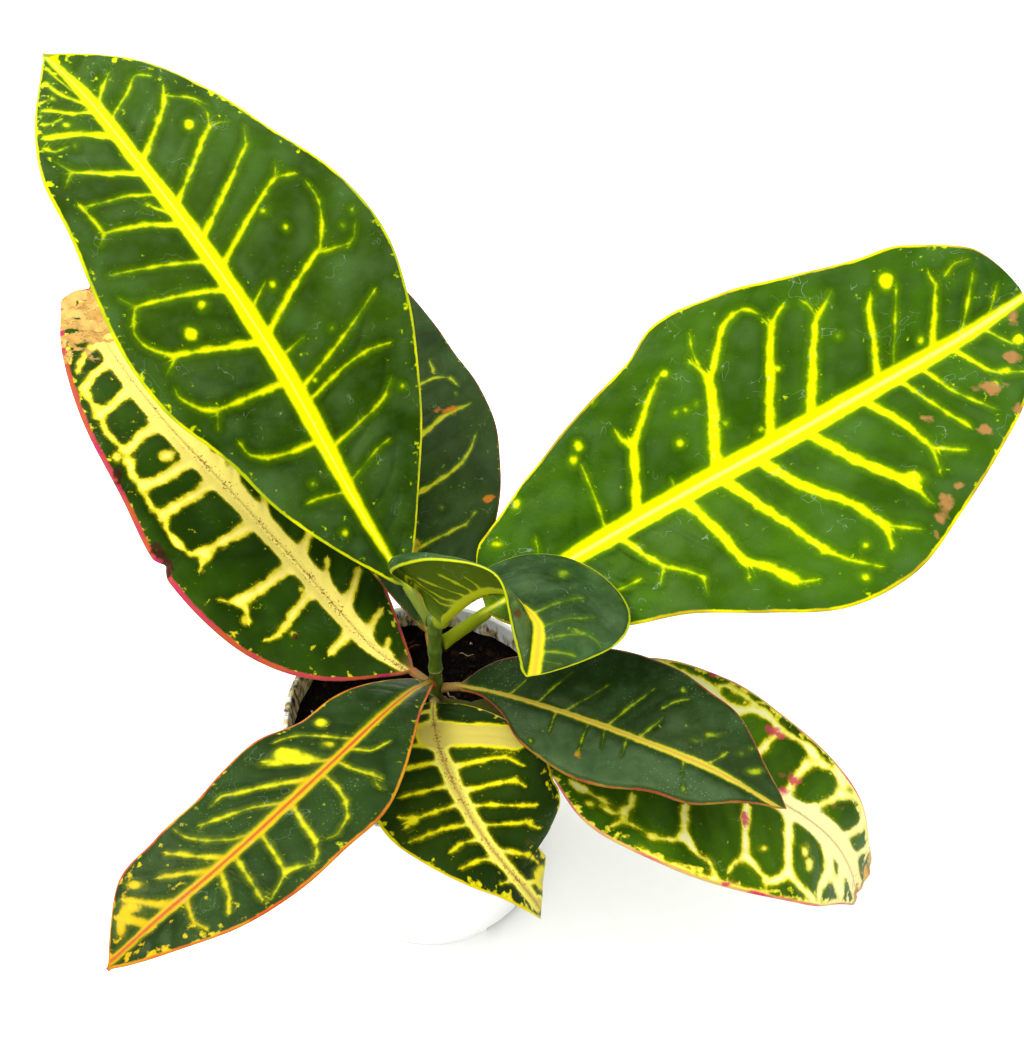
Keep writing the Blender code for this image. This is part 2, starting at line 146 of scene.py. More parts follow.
OLD = dict(fold=((11,), (11,)), curl=((-10,), (-10,)))
FRESH = dict(fold=((14,), (14,)), curl=((-12,), (-12,)))
LEAVES = {
    "leaf_1": dict(
        FRESH, z=142, length=240, petiole=16, tip=0.02,
        heading=(138, 132, 144), rise=(49, 49, 36, 23), roll=(5, 10),
        left=(2, 16, 27, 34, 44, 46, 43, 38, 33, 21, 1),
        right=(2, 19, 33, 42, 50, 54, 51, 42, 34, 22, 1), wave=(1.2, 3.0)),
    "leaf_2": dict(
        FRESH, z=131, length=240, petiole=21, base=0.05, tip=0.04, thick=1.4,
        heading=(17, 14, 31), rise=(33, 30, 23, 12), roll=(-17, -30),
        left=(20, 27, 37, 44, 51, 56, 52, 45, 39, 32, 17),
        right=(8, 22, 33, 42, 54, 62, 62, 52, 41, 28, 6), wave=(1.4, 3.5)),
    "leaf_3": dict(
        OLD, z=107, length=233, petiole=8, tip=0.04,
        heading=(156, 139, 109), rise=(27, 40, 13, -4), roll=(0, 0),
        left=(2, 26, 40, 43, 40, 34, 28, 22, 18, 14, 9),
        right=(2, 18, 28, 29, 28, 26, 24, 20, 16, 12, 6), wave=(1.0, 4.0),
        notch=("left", 0.39, 0.02, 3)),
    "leaf_4": dict(
        FRESH, z=120, length=179, petiole=10, tip=0.02,
        heading=(103, 94, 104), rise=(31, 24, 16, 6), roll=(-6, -2),
        left=(2, 14, 24, 27, 27, 26, 24, 20, 14, 7, 0),
        right=(2, 20, 29, 34, 35, 33, 28, 21, 14, 7, 0), wave=(1.2, 3.0)),
    "leaf_5": dict(
        OLD, z=111, length=162, petiole=5, tip=0.03,
        heading=(251, 238, 219), rise=(54, 15, 5, -18), roll=(4, -4),
        left=(2, 6, 10, 16, 22, 26, 26, 24, 20, 11, 1),
        right=(2, 9, 13, 18, 20, 24, 24, 22, 20, 16, 1), wave=(0.8, 4.0)),
    "leaf_6": dict(
        OLD, z=101, length=112, petiole=7, tip=0.03,
        heading=(267, 296, 349), rise=(46, 3, -33, -70), roll=(0, 0),
        left=(2, 14, 24, 30, 33, 34, 33, 30, 19, 13, 3),
        right=(2, 14, 24, 29, 29, 26, 21, 14, 9, 5, 1), wave=(0.8, 3.0),
        notch=("left", 0.80, 0.01, 6), lobe=0.08),
    "leaf_7": dict(
        OLD, z=107, length=139, petiole=10, tip=0.03,
        heading=(332, 327, 327), rise=(37, 14, 7, -9), roll=(-12, -1),
        left=(2, 11, 17, 24, 27, 29, 29, 25, 21, 11, 1),
        right=(2, 4, 10, 19, 23, 25, 24, 19, 16, 7, 1), wave=(0.7, 3.0)),
    "leaf_8": dict(
        OLD, z=98, length=196, petiole=12, tip=0.04,
        heading=(335, 342, 339), rise=(19, 2, -24, -84), roll=(0, -13),
        left=(2, 9, 20, 30, 35, 35, 30, 26, 23, 16, 12),
        right=(2, 8, 17, 31, 39, 42, 41, 35, 26, 14, 3), wave=(1.0, 4.0)),
    "leaf_9": dict(
        z=147, length=72, petiole=6, tip=0.03, hem=(120, 130, 40, 0, 0),
        heading=(300, 348, 332, 277, 254), rise=(54, 50, 20, -12, -40), roll=(20, 31, 14, 2),
        left=(2, 7, 13, 19, 26, 31, 34, 35, 29, 16, 1),
        right=(2, 27, 35, 31, 22, 18, 17, 15, 11, 6, 1),
        fold=((40, 25, 10, 5), (84, 64, 45, 43)), curl=((0, -5, -15, -17), (-22, -20, 4, 6)),
        wave=(0.3, 2.0), bulb=1.4),
}
# A grown margin is never as smooth as the model's. These are the millimetres by which it wanders from
# it on the left and on the right, evenly spaced from the base to the tip.
WANDER = {
    "leaf_1": ((0, 0, 0, 0, 0, 0.3, 0.5, 1, 1.5, 0.5, -1),
               (0, 0, 0, 0.5, 1.3, 1.9, 0.7, 0.2, 1.2, 0.7, -1.5)),
    "leaf_2": ((0, 0, 0.5, 1, 0.5, 1, 0.5, -0.5, -0.5, 3, 2.5, 1.5, 1.5, 1, 1.5, 1.5, 1.5, 2,
                0, 0, 0), (0, 0, 1.5, 0.5, 0, 2.5, 2, 1.5, 0.5, 0, 0)),
    "leaf_3": ((0, 1, -0.5, 1, 1.5, 0.5, 1, 1.5, 0.5, 0, 2), (0,)),
    "leaf_4": ((0,), (0, 0, 0, 0, 0.5, 2, 1.5, 0.5, 2, 2, 1)),
    "leaf_5": ((0, 0, 0, 0, 0, 0, -1, -0.5, 0, -1, -1), (0, 0, 0, 0, 0, 1, 1.5, 0.5, 2, 3.5, -1)),
    "leaf_6": ((*[0] * 13, 1, 2, 4.5, 2.5, 1.5, 3, 1.5, 0),
               (0, 0, 0, 0, 0, 1, -0.5, -0.5, -2, -1.5, 0)),
    "leaf_8": ((0, 0, 0, 1.5, 1.5, 0, 0, 0.5, -2.5, -1, 2), (0, 0, 2, 5, 3, 2, 0, 1, 2, 2, 1)),
}
for name, (left, right) in WANDER.items():
    LEAVES[name].update(left_wander=left, right_wander=right)
print(len(LEAVES), "leaves, the longest", max(leaf["length"] for leaf in LEAVES.values()), "mm")

# %% [markdown]
# A few values steer a whole leaf only if they are joined smoothly. One curve passes through evenly
# spaced values, and a smooth step turns one form into the next. Both work on whole arrays, so a leaf
# with fifty thousand points is grown in a moment.


# %% Smooth curves
def through(values, share):
    """A smooth curve through evenly spaced values, read at shares from 0 to 1."""
    values = np.asarray(values, float)
    share = np.clip(np.asarray(share, float), 0, 1)
    last = len(values) - 1
    if last == 0:
        return np.full(share.shape, values[0])
    cell = np.minimum((share * last).astype(int), last - 1)
    t = share * last - cell
    padded = np.concatenate([[2 * values[0] - values[1]], values, [2 * values[-1] - values[-2]]])
    before, start, end, after = (padded[cell + k] for k in range(4))
    return 0.5 * (2 * start + (end - before) * t
                  + (2 * before - 5 * start + 4 * end - after) * t ** 2
                  + (3 * start - before - 3 * end + after) * t ** 3)


def ease(low, high, value):
    """A smooth step from 0 at low to 1 at high."""
    t = np.clip((np.asarray(value, float) - low) / (high - low), 0, 1)
    return t * t * (3 - 2 * t)


def stem_axis(z):
    """The stem's centre at a height."""
    share = max((z - SOIL_TOP) / (STEM_TOP_Z - SOIL_TOP), 0.0)
    return STEM_BASE + (STEM_TOP - STEM_BASE) * share


# %% The midrib
WALK_STEPS, LEAST_WIDTH = 2000, 0.35


def leaf_frame(leaf, share):
    """The midrib's direction, the way to the right margin and the way up, at each share."""
    heading, rise, lean = (np.radians(through(leaf[key], share))
                           for key in ("heading", "rise", "roll"))
    along = np.stack([np.cos(rise) * np.cos(heading), np.cos(rise) * np.sin(heading),
                      np.sin(rise)], -1)
    level = np.stack([np.sin(heading), -np.cos(heading), 0 * heading], -1)
    upright = np.cross(level, along)
    side = level * np.cos(lean)[:, None] + upright * np.sin(lean)[:, None]
    return along, side, np.cross(side, along)


def midrib(leaf, share):
    """The midrib's place at each share, walked in small steps from the stem's surface."""
    heading = math.radians(leaf["heading"][0])
    out = STEM_RADIUS + NODE_SWELL + STEM_GAP
    way = np.array([math.cos(heading), math.sin(heading)])
    start = [*(stem_axis(leaf["z"]) + out * way), leaf["z"]]
    along, _, _ = leaf_frame(leaf, (np.arange(WALK_STEPS) + 0.5) / WALK_STEPS)
    walk = np.vstack([[0, 0, 0], np.cumsum(along, 0)]) * leaf["length"] / WALK_STEPS + start
    shares = np.linspace(0, 1, WALK_STEPS + 1)
    return np.stack([np.interp(share, shares, walk[:, k]) for k in range(3)], -1)


def half_width(leaf, side_name, u):
    """The blade's width from the midrib to one margin, rounded off at the base and the tip."""
    rest = np.clip((1 - u) / leaf["tip"], 0, 1)
    begun = np.clip(u / leaf.get("base", 0.01), 0, 1)
    width = through(leaf[side_name], u) + through(leaf.get(side_name + "_wander", (0,)), u)
    width = width * np.sqrt(1 - (1 - rest) ** 2) * np.sqrt(1 - (1 - begun) ** 2)
    if "notch" in leaf and leaf["notch"][0] == side_name:
        _, place, half, depth = leaf["notch"]
        half = np.where(u > place, leaf.get("lobe", half), half)
        width = width - depth * np.maximum(0, 1 - np.abs(u - place) / half) ** 1.6
    return np.maximum(width, LEAST_WIDTH)


print("midrib of leaf_1 ends at", midrib(LEAVES["leaf_1"], np.array([1.0]))[0].round(), "mm")

# %% [markdown]
# The blade is a grid: rows cross the leaf from margin to margin, and columns follow it from the stalk
# to the tip. The grid is as fine as the thinnest vein needs, a little under a millimetre. Beside its
# place in the air, each point keeps its flat place, in millimetres along the midrib and out from it,
# as if the leaf lay pressed in a book. The drawing is laid out on that flat sheet.

# %% The blade's grid
GRID, GRID_ALONG, STALK_GRID, FEWEST_ROWS = 0.68, 0.92, 0.8, 150
TIP_ROWS = np.array([0.3, 0.18, 0.09, 0.03, 0.0])
BULB_PLACE, BULB_SPREAD, RIGHT_PHASE = 3.2, 2.4, 2.0


def grid_shares(leaf):
    """The rows' shares of the whole length, close together at the tip, and where the blade starts."""
    start = leaf["petiole"] / leaf["length"]
    blade = leaf["length"] - leaf["petiole"]
    near_tip = 1 - leaf["tip"] * TIP_ROWS
    step = min(GRID_ALONG, blade / FEWEST_ROWS) / blade
    u = np.concatenate([np.arange(0, near_tip[0] - step, step), near_tip])
    stalk_rows = int(leaf["petiole"] / STALK_GRID)
    return np.concatenate([np.linspace(0, start, stalk_rows, endpoint=False),
                           start + (1 - start) * u]), start


def grow(leaf):
    """The middle surface of a leaf, its normals, and its flat sheet."""
    share, start = grid_shares(leaf)
    u = (share - start) / (1 - start)
    walked = share * leaf["length"]
    _, side, up = leaf_frame(leaf, share)
    side, up = side[:, None], up[:, None]
    origin = midrib(leaf, share)[:, None]
    body = ease(-0.02, 0.05, u)
    cells = int(max(max(leaf["left"]), max(leaf["right"])) / GRID)
    t = np.arange(1, cells + 1) / cells
    middle = t - 0.5 / cells
    bulb = leaf.get("bulb", 0) * np.exp(-((walked - BULB_PLACE) / BULB_SPREAD) ** 2)
    stalk = PETIOLE_RADIUS * leaf.get("thick", 1) + bulb
    height, count = leaf["wave"]
    halves, widths = [], []
    for index, direction, side_name in ((0, -1, "left"), (1, 1, "right")):
        width = np.where(share < start, stalk, half_width(leaf, side_name, np.maximum(u, 0)))
        width = np.maximum(width, stalk * (1 - body) * (share >= start))
        opening = body * np.minimum(1, width / FLAT_WIDTH)
        rolled = leaf["hem"] if direction > 0 and "hem" in leaf else (0,)
        fold, curl, hem = ((np.radians(through(bend, share)) * opening)[:, None]
                           for bend in (leaf["fold"][index], leaf["curl"][index], rolled))
        angle = fold + curl * middle - hem * ease(HEM_START, 1, middle)
        across = np.cumsum(np.cos(angle), 1) * width[:, None] / cells
        lift = np.cumsum(np.sin(angle), 1) * width[:, None] / cells
        phase = 0.0 if direction < 0 else RIGHT_PHASE
        swing = height * body * np.sin(math.tau * count * np.maximum(u, 0) + phase)
        lift = lift + swing[:, None] * t ** 2
        lean = (fold + curl * t - hem * ease(HEM_START, 1, t))[..., None]
        place = origin + direction * side * across[..., None] + up * lift[..., None]
        normal = up * np.cos(lean) - direction * side * np.sin(lean)
        reach = direction * width[:, None] * t
        halves.append([grid[:, ::direction] for grid in (place, normal, reach)])
        widths.append(width)
    place, normal, reach = (np.concatenate([left, rib, right], 1) for left, rib, right
                            in zip(halves[0], (origin, up, 0 * origin[:, 0, :1]), halves[1]))
    return dict(leaf=leaf, place=place, normal=normal, reach=reach, share=share, u=u, body=body,
                t=np.concatenate([-t[::-1], [0.0], t]), walked=walked, left=widths[0],
                right=widths[1], picture=to_picture(place), cells=cells, stalk=stalk)


grown = {name: grow(leaf) for name, leaf in LEAVES.items()}
for name, sheet in grown.items():
    print(name, "grid", sheet["reach"].shape)

# %% [markdown]
# The yellow drawing follows the veins, but no rule gives its forks, drops and gaps, so each vein is
# drawn as a few points of its path in the picture and its width at both ends, all in pixels.
# Painting straight onto the picture would slide off the leaf from any other side. Instead, each
# point is looked up on the grown leaf, and the vein then lies on the flat sheet in millimetres.

# %% The drawing on the leaves
# A vein is its width in pixels at its start and at its end, and then the points of its path.
# A drop is its centre and its two half sizes. The rib gives the midrib's width and place, in turn.
DRAWING = {
    "leaf_1": dict(
        rib=[(10, 384, 550), (13, 358, 508), (18, 336, 466), (20, 313, 423), (21, 290, 381), (21, 264, 340),
             (20, 239, 300), (20, 212, 261), (19, 184, 222), (18, 155, 184), (16, 125, 147), (16, 96, 108),
             (13, 63, 73), (8, 45, 56)],
        right=[
            (5, 3, (100, 98), (104, 84), (108, 75)), (3, 3, (118, 108), (128, 92), (135, 76), (148, 76)),
            (8, 3, (145, 155), (157, 125), (164, 104), (163, 86)), (3, 1, (165, 96), (190, 98), (205, 104)),
            (7, 4, (180, 197), (192, 168), (202, 142), (209, 126)), (3, 1, (209, 126), (207, 112), (198, 104)),
            (8, 4, (207, 230), (225, 192), (240, 158), (247, 143)), (3, 1, (246, 145), (244, 128)),
            (7, 4, (227, 257), (248, 220), (266, 190), (277, 177)), (4, 2, (277, 177), (294, 174)),
            (3, 1, (276, 178), (275, 165)),
            (9, 5, (272, 326), (292, 290), (308, 265), (320, 248)),
            (5, 2, (320, 248), (322, 222), (318, 200), (308, 184)), (4, 2, (320, 252), (338, 247), (348, 244)),
            (3, 1, (348, 246), (354, 236), (355, 225)),
            (6, 2, (310, 378), (333, 350), (355, 320), (374, 291)),
            (5, 2, (318, 392), (345, 366), (368, 350), (388, 343)),
            (5, 2, (340, 440), (362, 420), (382, 400), (390, 380)), (3, 1, (258, 296), (264, 284)),
            (3, 1, (286, 352), (302, 338)), (2, 1, (360, 470), (378, 448), (388, 440)),
            (3, 1, (206, 132), (216, 124), (226, 122))],
        left=[
            (5, 5, (98, 112), (72, 114), (45, 111)), (4, 5, (84, 104), (64, 97), (46, 84)),
            (8, 6, (112, 137), (80, 135), (45, 139)), (3, 4, (70, 90), (58, 80), (48, 70)),
            (3, 4, (60, 120), (52, 124), (44, 125)), (2, 3, (66, 148), (56, 152), (46, 150)),
            (7, 4, (135, 174), (105, 174), (72, 173)), (4, 2, (72, 173), (60, 165), (55, 162)),
            (3, 1, (70, 174), (66, 186)), (4, 2, (150, 195), (125, 197), (98, 204)),
            (3, 2, (98, 204), (82, 208)), (4, 2, (165, 212), (155, 208), (148, 205)),
            (8, 4, (176, 225), (140, 226), (104, 233)), (4, 3, (104, 233), (88, 215), (80, 206)),
            (4, 1, (104, 233), (100, 246)), (6, 3, (198, 262), (160, 266), (112, 275)),
            (9, 5, (222, 290), (180, 296), (135, 307)), (3, 1, (135, 307), (122, 300)),
            (5, 2, (135, 307), (133, 325)),
            (10, 6, (254, 343), (210, 350), (172, 356)), (6, 2, (172, 356), (148, 348), (135, 335), (134, 324)),
            (4, 1, (176, 356), (168, 372)),
            (10, 5, (282, 384), (250, 397), (215, 411)), (6, 2, (215, 411), (197, 408), (180, 398), (176, 392)),
            (4, 1, (217, 410), (218, 428)),
            (8, 5, (316, 442), (292, 452), (268, 458)), (5, 2, (268, 458), (250, 455), (240, 444)),
            (4, 2, (340, 493), (320, 498), (308, 503))],
        drops=[(190, 125, 6, 6), (191, 334, 8, 8), (202, 305, 5, 5), (286, 228, 3, 3), (273, 285, 4, 4),
               (312, 484, 3, 3), (345, 533, 4, 4), (263, 211, 4, 3), (315, 380, 3, 3), (402, 386, 3, 3),
               (75, 147, 2, 2), (52, 100, 3, 2), (66, 126, 3, 2),
               (148, 205, 4, 3), (352, 210, 2, 2), (342, 226, 2, 2), (332, 328, 2, 2)]),
    "leaf_2": dict(
        rib=[(18, 566, 562), (21, 605, 540), (22, 643, 517), (22, 682, 496), (24, 720, 474), (24, 759, 454),
             (24, 797, 432), (23, 835, 410), (22, 874, 388), (21, 911, 367), (19, 950, 345), (15, 987, 322),
             (10, 1018, 300)],
        left=[
            (3, 2, (605, 528), (598, 505), (590, 485), (582, 466)), (2, 1, (539, 556), (536, 540)),
            (12, 8, (637, 509), (636, 480), (634, 450), (631, 443)), (6, 3, (631, 443), (622, 440), (616, 432)),
            (9, 5, (634, 443), (642, 420), (650, 396), (657, 380)), (3, 1, (657, 380), (664, 371)),
            (15, 10, (717, 472), (714, 430), (712, 395), (708, 380)), (7, 3, (709, 378), (700, 370), (690, 362)),
            (9, 5, (711, 378), (717, 350), (722, 328), (732, 315)), (5, 2, (732, 315), (744, 309), (758, 314)),
            (3, 1, (700, 370), (692, 350), (690, 336)),
            (12, 8, (770, 441), (770, 400), (770, 350), (771, 328)), (7, 3, (771, 328), (763, 320)),
            (7, 3, (771, 326), (778, 312), (783, 305)),
            (12, 6, (811, 413), (812, 370), (815, 330), (816, 316)), (5, 2, (816, 316), (808, 305), (803, 302)),
            (5, 2, (817, 316), (826, 302), (830, 294)),
            (9, 5, (877, 374), (874, 345), (869, 315), (870, 296)), (2, 1, (893, 368), (895, 320), (896, 285)),
            (8, 4, (932, 346), (934, 315), (935, 285)), (3, 1, (935, 285), (928, 273)),
            (4, 3, (962, 328), (968, 300), (972, 275)), (3, 2, (989, 314), (996, 288)),
            (3, 1, (676, 490), (672, 480)), (4, 2, (946, 274), (954, 264), (966, 260))],
        right=[
            (8, 6, (625, 541), (645, 555), (664, 566)), (5, 3, (664, 566), (690, 572), (705, 578)),
            (4, 1, (664, 566), (661, 582)), (4, 1, (704, 578), (707, 592)),
            (13, 9, (690, 506), (715, 528), (745, 562)), (6, 3, (747, 562), (749, 576)),
            (8, 14, (747, 562), (770, 568), (795, 580)), (4, 2, (796, 582), (818, 580)),
            (12, 8, (733, 487), (775, 515), (825, 550)), (8, 4, (825, 550), (850, 560), (880, 566)),
            (12, 9, (762, 462), (800, 485), (850, 503), (885, 525)), (7, 4, (885, 525), (892, 546)),
            (5, 2, (885, 525), (920, 529)),
            (11, 12, (816, 438), (860, 462), (915, 485)), (7, 4, (913, 484), (930, 502)),
            (9, 6, (872, 406), (905, 425), (932, 448)), (6, 4, (932, 448), (940, 470)),
            (5, 2, (932, 448), (964, 450)),
            (6, 3, (905, 385), (935, 405), (968, 426)), (5, 2, (925, 372), (955, 392), (993, 408)),
            (6, 3, (958, 353), (985, 368), (1002, 374)), (4, 2, (990, 333), (1012, 344)),
            (3, 1, (640, 580), (618, 590)), (5, 3, (1000, 372), (1020, 372))],
        drops=[(885, 282, 8, 9), (574, 461, 4, 5), (578, 446, 5, 5), (516, 505, 4, 5), (680, 444, 4, 4),
               (726, 424, 3, 3), (838, 336, 3, 3), (664, 374, 4, 4), (778, 369, 3, 3), (761, 429, 3, 3),
               (920, 341, 3, 4), (865, 577, 4, 4), (866, 546, 3, 3), (914, 478, 10, 7), (592, 402, 3, 3),
               (498, 545, 5, 3), (1018, 340, 6, 6), (686, 410, 2, 2), (676, 413, 2, 2), (697, 405, 2, 2),
               (1006, 371, 8, 4), (995, 385, 4, 4)]),
    "leaf_3": dict(
        rib=[(8, 388, 668), (15, 370, 645), (22, 348, 621), (24, 320, 588), (24, 296, 561), (24, 267, 531),
             (24, 243, 505), (24, 219, 478), (23, 190, 450), (22, 162, 419), (20, 138, 388), (19, 117, 361),
             (18, 99, 330)],
        hidden=dict(right=(0.42, 1.0)), hidden_width=(2.4, 1.4), fillet=1.0,
        left=[
            (9, 8, (352, 628), (342, 640), (331, 653)), (12, 7, (312, 590), (295, 612), (284, 628)),
            (7, 3, (284, 628), (276, 636), (266, 640)),
            (14, 9, (288, 568), (262, 588), (238, 602)), (6, 3, (238, 602), (246, 610), (248, 621)),
            (6, 4, (238, 602), (228, 602), (219, 600)),
            (13, 8, (250, 525), (225, 540), (205, 552)), (7, 4, (205, 552), (190, 553), (178, 546)),
            (7, 5, (205, 552), (202, 562), (200, 571)),
            (13, 9, (214, 482), (190, 498), (163, 515)), (7, 4, (163, 515), (152, 508), (146, 494)),
            (5, 4, (163, 515), (168, 532), (178, 546)),
            (14, 9, (190, 460), (165, 478), (143, 486)), (8, 6, (143, 486), (132, 476), (130, 462)),
            (13, 9, (160, 425), (142, 436), (127, 452)), (7, 6, (127, 452), (126, 462)),
            (12, 8, (132, 388), (118, 402), (100, 415)), (7, 6, (100, 415), (106, 432), (122, 448)),
            (9, 8, (112, 362), (98, 372), (85, 388)), (6, 5, (85, 388), (92, 404), (100, 415)),
            (7, 5, (100, 340), (88, 352), (78, 372))],
        right=[
            (9, 7, (362, 640), (372, 625), (380, 612)), (11, 7, (345, 605), (353, 588), (358, 572)),
            (8, 3, (325, 585), (327, 572), (327, 560)), (11, 9, (300, 555), (306, 540), (310, 526)),
            (10, 8, (262, 520), (264, 505), (266, 490)), (9, 5, (382, 662), (386, 652), (388, 640))],
        drops=[(292, 635, 3, 3), (243, 620, 3, 4), (300, 590, 2, 2), (117, 458, 4, 5), (152, 420, 5, 4),
               (168, 456, 8, 6)]),
    "leaf_4": dict(
        rib=[(8, 413, 560), (7, 410, 500), (6, 408, 420)], hidden=dict(left=(0.0, 1.0), right=(0.0, 0.04)),
        right=[
            (4, 2, (425, 545), (450, 532), (466, 524)), (3, 1, (466, 524), (476, 512)),
            (5, 3, (424, 490), (445, 477), (462, 463)), (4, 1, (462, 463), (470, 450), (476, 434)),
            (6, 3, (426, 432), (445, 416), (462, 408)), (3, 1, (462, 408), (470, 404)),
            (4, 2, (424, 383), (435, 378), (450, 378)), (3, 1, (450, 378), (458, 386)),
            (3, 1, (433, 372), (430, 362))],
        left=[],
        drops=[(463, 607, 5, 5), (442, 508, 2, 2), (456, 394, 2, 2)],
        stains=[(488, 500, 3, 3), (448, 411, 7, 2)]),
    "leaf_5": dict(
        rib=[(8, 388, 711), (9, 365, 731), (10, 345, 750), (11, 323, 771), (12, 302, 790), (12, 280, 811),
             (12, 259, 831), (12, 237, 851), (11, 213, 873), (10, 190, 892), (9, 167, 911), (8, 143, 930),
             (6, 120, 955)],
        right=[
            (3, 2, (352, 739), (325, 737), (302, 735)), (2, 1, (302, 735), (288, 738), (274, 743)),
            (4, 3, (322, 761), (300, 763), (262, 762)),
            (6, 4, (305, 780), (265, 787), (235, 794)), (3, 1, (235, 794), (222, 797), (212, 806)),
            (4, 3, (285, 803), (245, 810), (202, 825)), (3, 2, (264, 828), (235, 839), (205, 841)),
            (2, 1, (205, 841), (188, 838), (176, 832)), (5, 3, (232, 858), (205, 857), (168, 854)),
            (7, 5, (205, 872), (185, 874), (160, 878)), (9, 7, (170, 905), (148, 903), (126, 900)),
            (8, 8, (148, 925), (136, 922), (120, 918))],
        left=[
            (3, 2, (350, 749), (370, 751), (388, 743)),
            (3, 2, (340, 763), (355, 770), (380, 778)), (2, 1, (372, 774), (378, 786), (384, 790)),
            (4, 4, (324, 776), (335, 785), (346, 802)), (4, 3, (346, 802), (347, 818), (338, 834)),
            (3, 2, (338, 834), (330, 838)),
            (7, 6, (294, 808), (304, 825), (316, 842)), (4, 2, (316, 842), (317, 856), (312, 866)),
            (5, 4, (265, 840), (275, 855), (285, 873)), (3, 2, (285, 873), (296, 868), (316, 863)),
            (2, 1, (285, 873), (278, 888), (272, 898)),
            (5, 3, (240, 864), (250, 880), (262, 900)), (4, 3, (225, 884), (229, 896), (229, 912)),
            (4, 3, (187, 900), (190, 912), (194, 922)), (2, 1, (194, 922), (208, 930))],
        drops=[(321, 724, 6, 5), (329, 745, 6, 3), (290, 756, 16, 8), (305, 760, 18, 5), (275, 764, 12, 3),
               (136, 886, 8, 4), (132, 908, 10, 5), (122, 930, 5, 10), (126, 912, 6, 8)]),
    "leaf_6": dict(
        rib=[(8, 434, 722), (14, 437, 740), (17, 442, 757), (18, 448, 770), (17, 455, 785), (17, 462, 800),
             (16, 470, 815), (14, 479, 831), (13, 490, 846), (12, 500, 859), (12, 511, 873), (13, 524, 887),
             (12, 536, 903)],
        hidden=dict(right=(0.0, 0.12)), fillet=0.6,
        left=[
            (26, 24, (454, 735), (484, 735), (516, 738)),
            (5, 4, (460, 766), (485, 760), (505, 757)), (4, 2, (505, 757), (522, 765)),
            (5, 4, (462, 791), (490, 785), (515, 780)), (4, 2, (515, 780), (524, 786)),
            (4, 4, (470, 806), (500, 805), (535, 805)), (4, 4, (480, 825), (505, 824), (530, 821)),
            (4, 2, (525, 822), (538, 828)), (5, 4, (495, 849), (512, 852), (528, 854)),
            (4, 3, (528, 854), (537, 862)), (5, 5, (524, 884), (534, 881), (542, 878))],
        right=[
            (4, 3, (437, 723), (425, 724), (410, 728)), (5, 4, (441, 743), (425, 745), (405, 747)),
            (5, 4, (446, 763), (425, 765), (400, 771)), (5, 3, (452, 786), (430, 790), (400, 798)),
            (4, 3, (460, 804), (435, 812), (415, 819)), (4, 2, (415, 819), (400, 818)),
            (3, 2, (415, 820), (405, 828)), (4, 3, (470, 824), (440, 830), (410, 842)),
            (4, 3, (485, 838), (465, 842), (450, 852)), (4, 3, (500, 855), (480, 860), (462, 868)),
            (3, 2, (512, 878), (500, 884))],
        drops=[(542, 880, 4, 14), (538, 902, 6, 8)], stains=[(540, 914, 4, 3)],
        brown=[(532, 843, 4, 1), (526, 844, 3, 1)]),
    "leaf_7": dict(
        rib=[(4, 480, 689), (5, 503, 695), (6, 549, 708), (7, 595, 723), (7, 640, 740), (8, 663, 749),
             (9, 707, 767), (8, 730, 777), (6, 750, 790), (4, 775, 807)], hidden=dict(left=(0.0, 0.05)),
        left=[
            (2, 1, (540, 701), (556, 686), (573, 672)), (2, 2, (574, 706), (588, 698), (607, 687)),
            (2, 2, (612, 722), (632, 706), (652, 691)), (3, 1, (640, 737), (650, 729), (661, 720)),
            (2, 1, (513, 692), (525, 682)), (2, 1, (664, 708), (676, 702), (688, 700)),
            (4, 2, (706, 764), (716, 760), (726, 754))],
        right=[
            (2, 1, (556, 712), (552, 724), (549, 732)), (1, 1, (588, 724), (583, 738), (579, 750)),
            (1, 1, (626, 742), (622, 756)), (1, 1, (683, 764), (682, 776)), (1, 1, (604, 734), (602, 748))],
        drops=[(531, 742, 2, 2), (712, 735, 6, 2), (699, 741, 4, 1), (683, 788, 2, 3), (755, 772, 8, 4),
               (751, 749, 4, 1), (742, 754, 3, 1), (683, 691, 2, 2)],
        stains=[(576, 756, 2, 3), (578, 759, 3, 1)]),
    "leaf_8": dict(
        rib=[(14, 783, 804), (20, 800, 815), (23, 816, 825), (24, 832, 839), (20, 842, 853), (14, 850, 872)],
        hidden=dict(left=(0.0, 0.42), right=(0.0, 0.20)), hidden_width=(2.2, 1.2), fillet=1.0,
        left=[
            (9, 8, (700, 683), (714, 693), (727, 704), (738, 711)), (8, 6, (738, 711), (755, 711), (770, 719), (778, 729)),
            (6, 4, (700, 683), (685, 674), (667, 664), (655, 661)), (5, 4, (714, 691), (724, 686), (738, 692)),
            (4, 3, (738, 692), (752, 702), (766, 713)), (10, 7, (757, 754), (768, 743), (778, 733)),
            (5, 5, (786, 734), (800, 741), (810, 749), (822, 765)),
            (10, 7, (784, 796), (794, 780), (806, 764)), (5, 5, (806, 764), (810, 757), (809, 749)),
            (7, 6, (806, 764), (822, 765), (835, 773), (843, 786)), (9, 7, (806, 810), (822, 804), (840, 794)),
            (6, 5, (840, 794), (844, 785)), (6, 6, (840, 794), (858, 799), (862, 812), (860, 827)),
            (8, 6, (836, 840), (848, 833), (860, 827)), (5, 5, (836, 768), (852, 786), (860, 800)),
            (5, 5, (862, 812), (869, 826), (870, 842)), (7, 6, (850, 858), (860, 852), (868, 846))],
        right=[
            (8, 7, (572, 782), (577, 786), (584, 790)), (4, 3, (584, 790), (594, 796), (606, 803)),
            (7, 5, (632, 796), (630, 806), (624, 812)), (4, 2, (624, 812), (614, 814), (602, 808)),
